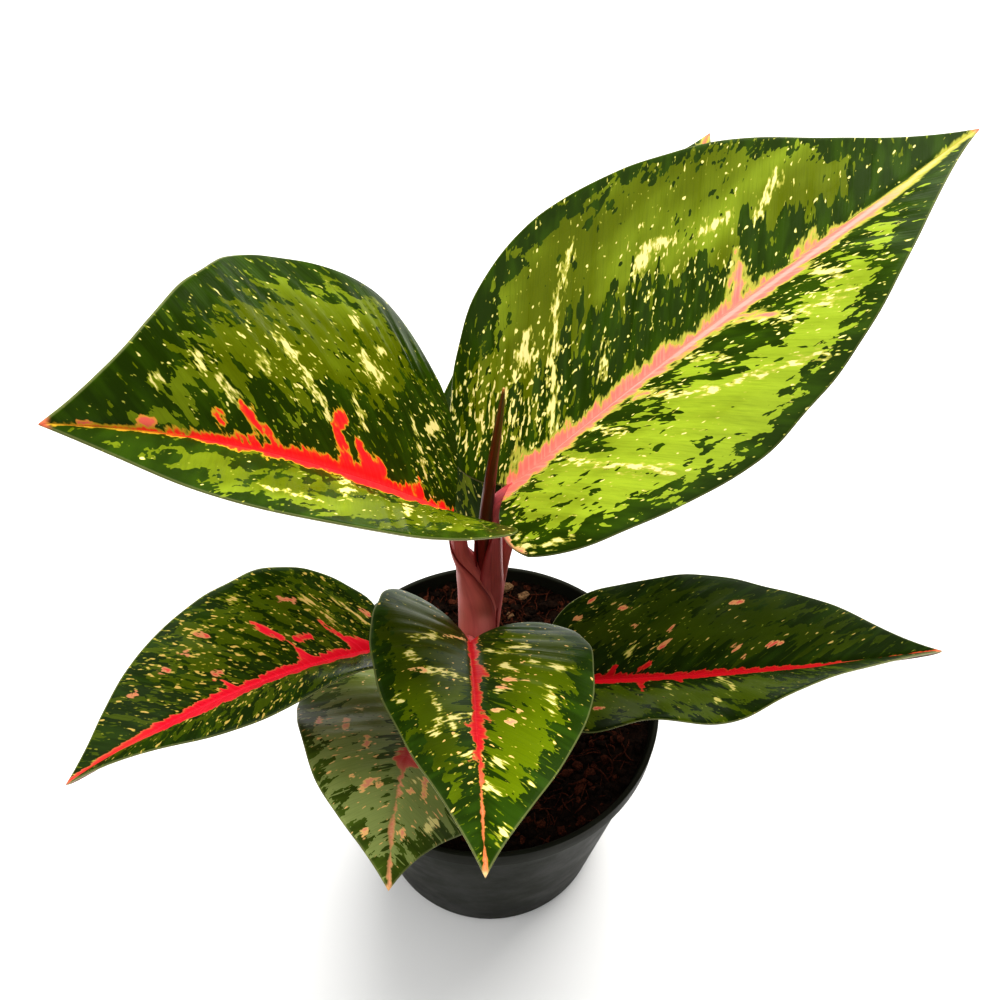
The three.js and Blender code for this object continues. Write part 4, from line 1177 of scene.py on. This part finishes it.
def build_cane():
    top, foot, radius = CANE["top"], CANE["foot"], CANE["radius"]
    profile = [(CAP_RADIUS, foot)]
    for z in np.linspace(foot, top, CANE_STEPS):
        profile.append((radius + scar_bulge(z) + 0.12 * math.sin(z * 1.9), z))
    profile.append((CAP_RADIUS, top))
    points, faces = lathe(profile, CANE_SIDES)
    angle = np.arctan2(points[:, 1], points[:, 0])
    skin = np.hypot(points[:, 0], points[:, 1]) > 1
    points[:, :2] *= (1 + 0.02 * np.sin(3 * angle + points[:, 2] * 0.2) * skin)[:, None]
    points += (CANE["x"], CANE["y"], 0)
    g = Graph("cane_skin")
    rings = g.stretched_noise((60, 60, 900), 3.0, 0.6)
    patch = g.noise(g.place(), 260.0, 3.0, 0.6)
    colour = g.paint((0.16, 0.055, 0.035), patch, 0.35, 0.65, (0.30, 0.15, 0.09))
    colour = g.paint(colour, rings, 0.5, 0.7, (0.05, 0.025, 0.015), 0.6)
    g.bump(rings, 0.0004, 0.6)
    material = g.finish(colour, g.ramp(patch, 0.3, 0.7, 0.5, 0.7), 0.3)
    return make_piece("cane_stem", points, faces, [material], "cane")


def wall_radius(z):
    """Outer radius of the pot's tapered wall, below the collar."""
    top = POT_RIM_RADIUS - COLLAR_STEP - COLLAR_FLARE
    return POT_BASE_RADIUS + (top - POT_BASE_RADIUS) * z / (POT_HEIGHT - COLLAR_HEIGHT)


def pot_material():
    """Dark satin plastic with faint bands round it and a little dust."""
    g = Graph("pot_plastic_skin")
    grain = g.noise(g.place(), 1900.0, 2.0, 0.6)
    flow = g.stretched_noise((40, 40, 260), 3.0, 0.55)
    dust = g.noise(g.place(), 55.0, 5.0, 0.65)
    colour = g.paint((0.010, 0.011, 0.007), flow, 0.3, 0.7, (0.015, 0.016, 0.010))
    colour = g.paint(colour, dust, 0.6, 0.75, (0.05, 0.042, 0.03), 0.2)
    g.bump(g.add(g.times(grain, 0.4), g.times(flow, 0.3)), 0.0002, 0.3)
    return g.finish(colour, g.ramp(dust, 0.3, 0.7, 0.38, 0.5), 0.04)


def drain_holes(pot):
    """Cut the drain holes through the pot's floor."""
    cutters = []
    for i in range(DRAIN_COUNT):
        angle = 2 * math.pi * (i + 0.5) / DRAIN_COUNT
        points, faces = lathe([(DRAIN_RADIUS, z) for z in DRAIN_CUT], DRAIN_SIDES)
        points += (DRAIN_CIRCLE * math.cos(angle), DRAIN_CIRCLE * math.sin(angle), 0)
        mesh = bpy.data.meshes.new("drain")
        mesh.from_pydata((points * MM).tolist(), [], faces)
        cutter = bpy.data.objects.new("drain", mesh)
        bpy.context.scene.collection.objects.link(cutter)
        modifier = pot.modifiers.new(f"drain_{i}", "BOOLEAN")
        modifier.operation, modifier.object, modifier.solver = "DIFFERENCE", cutter, "EXACT"
        cutters.append(cutter)
    cut = bpy.data.meshes.new_from_object(pot.evaluated_get(bpy.context.evaluated_depsgraph_get()))
    pot.modifiers.clear()
    pot.data = cut
    for cutter in cutters:
        bpy.data.objects.remove(cutter)


def build_pot():
    collar = POT_HEIGHT - COLLAR_HEIGHT
    inside = POT_FLOOR + 1
    foot, rim_inside = DRAIN_CIRCLE + FOOT_OFFSET, POT_RIM_RADIUS - RIM_WALL
    profile = [
        (AXIS_CAP, FOOT_RECESS), (DRAIN_CIRCLE - 8, FOOT_RECESS), (foot - 1, FOOT_RECESS),
        (foot, 0), (POT_BASE_RADIUS - 0.6, 0),
        (wall_radius(1.2), 1.2), (wall_radius(collar - 1.4), collar - 1.4),
        (wall_radius(collar) + COLLAR_STEP, collar - 0.2), (POT_RIM_RADIUS, POT_HEIGHT - 0.3),
        (POT_RIM_RADIUS - 0.4, POT_HEIGHT), (rim_inside + 0.4, POT_HEIGHT),
        (rim_inside, POT_HEIGHT - 0.4), (wall_radius(collar) - POT_WALL, collar),
        (wall_radius(inside) - POT_WALL, inside),
        (wall_radius(POT_FLOOR) - POT_WALL - 1, POT_FLOOR + 0.3), (AXIS_CAP, POT_FLOOR + 0.3),
    ]
    points, faces = lathe(rounded(profile, POT_ROUNDING), POT_SEGMENTS)
    pot = make_piece("pot", points, faces, [pot_material()], "nursery_pot")
    drain_holes(pot)
    pot.data.polygons.foreach_set("use_smooth", np.ones(len(pot.data.polygons), bool))
    pot.data.set_sharp_from_angle(angle=math.radians(SHARP_ANGLE))
    return pot


def soil_height(x, y):
    """Height of the mix's rippled surface."""
    c, f = COARSE_RIPPLE, FINE_RIPPLE
    coarse = np.sin(x * c["x"] + c["shift_x"]) * np.cos(y * c["y"] + c["shift_y"])
    fine = np.sin(x * f["x"] - y * f["y"]) * np.sin(y * f["cross"] + f["shift"])
    return SOIL_TOP + c["rise"] * coarse + f["rise"] * fine


def lump(rng, centre, size, flatness):
    """A rough crumb: a small sphere of rings pushed about at random."""
    rings, sides = 4, 7
    stretch = rng.uniform(0.8, 1.7)
    out = [np.array([0, 0, size * flatness])]
    for i in range(1, rings):
        polar = math.pi * i / rings
        for j in range(sides):
            angle = 2 * math.pi * (j + 0.5 * (i % 2)) / sides
            r = size * rng.uniform(0.6, 1.25)
            across, up = r * math.sin(polar), r * flatness * math.cos(polar)
            out.append(np.array([stretch * across * math.cos(angle), across * math.sin(angle), up]))
    out.append(-np.array([0, 0, size * flatness]))
    heading = rng.uniform(0, math.pi)
    cos, sin = math.cos(heading), math.sin(heading)
    out = [centre + np.array([cos * p[0] - sin * p[1], sin * p[0] + cos * p[1], p[2]]) for p in out]
    faces = [[0, 1 + j, 1 + (j + 1) % sides] for j in range(sides)]
    for i in range(rings - 2):
        for j in range(sides):
            a, b = 1 + i * sides + j, 1 + i * sides + (j + 1) % sides
            faces.append([a, a + sides, b + sides, b])
    last = len(out) - 1
    faces += [[last, last - sides + (j + 1) % sides, last - sides + j] for j in range(sides)]
    return np.array(out), faces


def fibre(rng, centre, length, radius):
    """A thin bent fibre lying on the mix."""
    heading = rng.uniform(0, 2 * math.pi)
    bend = rng.normal(0, 0.9)
    steps, sides = 8, 5
    line = []
    place = np.array(centre, float)
    for k in range(steps + 1):
        line.append(place.copy())
        heading += bend / steps + rng.normal(0, 0.12)
        place = place + length / steps * np.array([math.cos(heading), math.sin(heading), 0])
        arch = 0.9 * math.sin(math.pi * k / steps) * rng.uniform(0.3, 1.4)
        place[2] = soil_height(place[0], place[1]) + radius + arch
    line = np.array(line)
    forward = unit(np.gradient(line, axis=0))
    side = unit(np.cross(np.array([0.0, 0.0, 1.0]), forward))
    up = np.cross(forward, side)
    points = []
    for k in range(steps + 1):
        r = radius * (1 - 0.7 * abs(2 * k / steps - 1) ** 3)
        points.append(ring(line[k], side[k], up[k], r, turns(sides)))
    return np.concatenate(points), ring_faces(steps, sides)


def soil_material(name, deep, pale, scale):
    """Rough matt crumb between two tints, with light grains and painted shade in the pits of its
    bump.
    """
    g = Graph(name)
    grain = g.noise(g.place(), scale, 5.0, 0.65)
    patch = g.noise(g.place(), scale / 7, 3.0, 0.6)
    colour = g.paint(deep, patch, 0.35, 0.7, pale)
    colour = g.paint(colour, grain, 0.42, 0.68, tuple(min(1, 2.4 * c) for c in pale), 0.65)
    # Painted shade: darker where the grain noise is low, in the pits of the bump below
    colour = g.paint(colour, grain, 0.42, 0.25, tuple(0.3 * c for c in deep), 0.8)
    g.bump(grain, 0.0009, 0.9)
    return g.finish(colour, g.ramp(grain, 0.3, 0.7, 0.85, 0.98), 0.05)


def build_soil():
    rng = np.random.default_rng(SEED)
    deep = soil_material("peat", (0.0035, 0.0018, 0.0010), (0.009, 0.004, 0.002), 900.0)
    red = soil_material("coir", (0.020, 0.005, 0.002), (0.046, 0.013, 0.006), 1500.0)
    bark = soil_material("bark", (0.045, 0.022, 0.010), (0.12, 0.070, 0.035), 1100.0)
    peat_kind, coir_kind, bark_kind = range(3)

    # The filling: two rings inside the wall, then rippled rings towards the middle of the surface
    turn = turns(SOIL_SEGMENTS)
    top_radius = wall_radius(SOIL_TOP) - POT_WALL + WALL_BITE
    floor, shoulder = POT_FLOOR + 0.6, SOIL_TOP - 4
    rings = []
    for r, z in (
        (wall_radius(floor) - POT_WALL - 1.2, floor),
        (wall_radius(shoulder) - POT_WALL - 0.3, shoulder),
    ):
        height = np.full(SOIL_SEGMENTS, float(z))
        rings.append(np.stack([r * np.cos(turn), r * np.sin(turn), height], -1))
    for i in range(SOIL_RINGS, 0, -1):
        r = top_radius * i / SOIL_RINGS
        x, y = r * np.cos(turn), r * np.sin(turn)
        z = soil_height(x, y) + rng.normal(0, SOIL_ROUGHNESS, SOIL_SEGMENTS)
        rings.append(np.stack([x, y, np.minimum(z, SOIL_LIMIT)], -1))
    blocks = [np.concatenate(rings)]
    faces = ring_faces(len(rings) - 1, SOIL_SEGMENTS)
    ground = len(faces)
    kinds = [peat_kind] * ground
    total = len(blocks[0])

    def put(block, more, kind):
        nonlocal total
        blocks.append(block)
        faces.extend([[k + total for k in face] for face in more])
        kinds.extend([kind] * len(more))
        total += len(block)

    def spot(inset):
        r = (top_radius - inset) * math.sqrt(rng.uniform(0.0, 1.0))
        angle = rng.uniform(0, 2 * math.pi)
        return r * math.cos(angle), r * math.sin(angle)

    for _ in range(CRUMBS):
        x, y = spot(1.6)
        size = rng.uniform(0.45, 1.0) if rng.uniform() < 0.75 else rng.uniform(1.0, 2.1)
        kind = peat_kind if rng.uniform() < 0.72 else coir_kind
        centre = np.array([x, y, soil_height(x, y) + 0.2 * size])
        put(*lump(rng, centre, size, rng.uniform(0.45, 0.8)), kind)
    for _ in range(FIBRES):
        x, y = spot(4)
        centre = (x, y, soil_height(x, y))
        put(*fibre(rng, centre, rng.uniform(4, 13), rng.uniform(0.16, 0.38)), coir_kind)
    for _ in range(CHIPS):
        x, y = spot(4)
        if x > 0 and y < 20:
            continue
        centre = np.array([x, y, soil_height(x, y) + 0.7])
        put(*lump(rng, centre, rng.uniform(1.2, 2.6), CHIP_FLATNESS), bark_kind)
    put(*lump(rng, np.array(BIG_CHIP["place"]), BIG_CHIP["size"], BIG_CHIP["flatness"]), bark_kind)

    # Nothing on the surface reaches past the wall's inner face
    points = np.concatenate(blocks)
    reach = np.hypot(points[:, 0], points[:, 1])
    limit = np.where(points[:, 2] > SOIL_TOP - 3, top_radius, FAR)
    points[:, :2] *= np.minimum(1, limit / np.maximum(reach, 1e-6))[:, None]
    soil = make_piece(
        "potting_mix_top", points, faces, [deep, red, bark], "potting_mix", kinds,
    )
    smooth = np.ones(len(faces), bool)
    smooth[ground:] = [
        len(face) != 3 and kind != bark_kind for face, kind in zip(faces[ground:], kinds[ground:])
    ]
    soil.data.polygons.foreach_set("use_smooth", smooth)
    return soil


# The scene round the plant

def build_floor():
    h, z = FLOOR_HALF, FLOOR_Z
    mesh = bpy.data.meshes.new("studio_floor")
    mesh.from_pydata([(-h, -h, z), (h, -h, z), (h, h, z), (-h, h, z)], [], [[0, 1, 2, 3]])
    g = Graph("studio_floor_paint")
    paint = g.mix(g.noise(g.place(), 12.0, 2.0, 0.5), (0.79, 0.79, 0.785), (0.81, 0.81, 0.805))
    mesh.materials.append(g.finish(paint, 0.9, 0.1))
    floor = bpy.data.objects.new("studio_floor", mesh)
    bpy.context.scene.collection.objects.link(floor)


def build_world():
    world = bpy.data.worlds.new("studio_world")
    world.use_nodes = True
    nodes, links = world.node_tree.nodes, world.node_tree.links
    sky = nodes["Background"]
    sky.inputs["Color"].default_value = (1.0, 1.0, 0.99, 1)
    strength = nodes.new("ShaderNodeMapRange")
    strength.inputs["To Min"].default_value = WORLD_STRENGTH
    strength.inputs["To Max"].default_value = BACKDROP_STRENGTH
    links.new(nodes.new("ShaderNodeLightPath").outputs["Is Camera Ray"], strength.inputs["Value"])
    links.new(strength.outputs[0], sky.inputs["Strength"])
    bpy.context.scene.world = world


def build_lamp(name, place, power, colour):
    """A square area light that faces the plant."""
    light = bpy.data.lights.new(name, "AREA")
    light.shape, light.size, light.energy, light.color = "SQUARE", LAMP_SIZE, power, colour
    lamp = bpy.data.objects.new(name, light)
    lamp.location = place
    x, y, z = np.array(LAMP_AIM, float) - np.array(place, float)
    lamp.rotation_euler = (math.atan2(math.hypot(x, y), -z), 0, math.atan2(y, x) - math.pi / 2)
    bpy.context.scene.collection.objects.link(lamp)


def build_camera():
    camera = bpy.data.cameras.new("camera")
    camera.sensor_width = CAMERA["sensor"]
    camera.lens = CAMERA["lens"]
    camera.clip_start = 0.01
    eye = bpy.data.objects.new("camera", camera)
    eye.location = tuple(c * MM for c in CAMERA["place"])
    eye.rotation_euler = (math.radians(CAMERA["tilt"]), 0, 0)
    bpy.context.scene.collection.objects.link(eye)
    bpy.context.scene.camera = eye
    bpy.context.scene.view_settings.view_transform = "Standard"
    bpy.context.scene.view_settings.look = "Medium High Contrast"


build_floor()
build_world()
build_lamp("key", (0.7, 1.7, 2.1), 150, (1.0, 0.985, 0.96))
build_lamp("fill", (-0.6, -0.6, 2.4), 62, (1.0, 1.0, 1.0))
build_camera()
build_pot()
build_soil()
build_cane()
build_new_leaf()
rose = stalk_material("petiole_rose", (0.62, 0.125, 0.12), (0.66, 0.20, 0.17))
dusky = stalk_material("petiole_dusky", (0.52, 0.095, 0.11), (0.52, 0.13, 0.12))
for name, leaf in LEAVES.items():
    build_stalk(name, leaf, dusky if name == "upper_right" else rose, SHEATHS.get(name, ()))
    build_blade(name, leaf, MARKINGS[name])
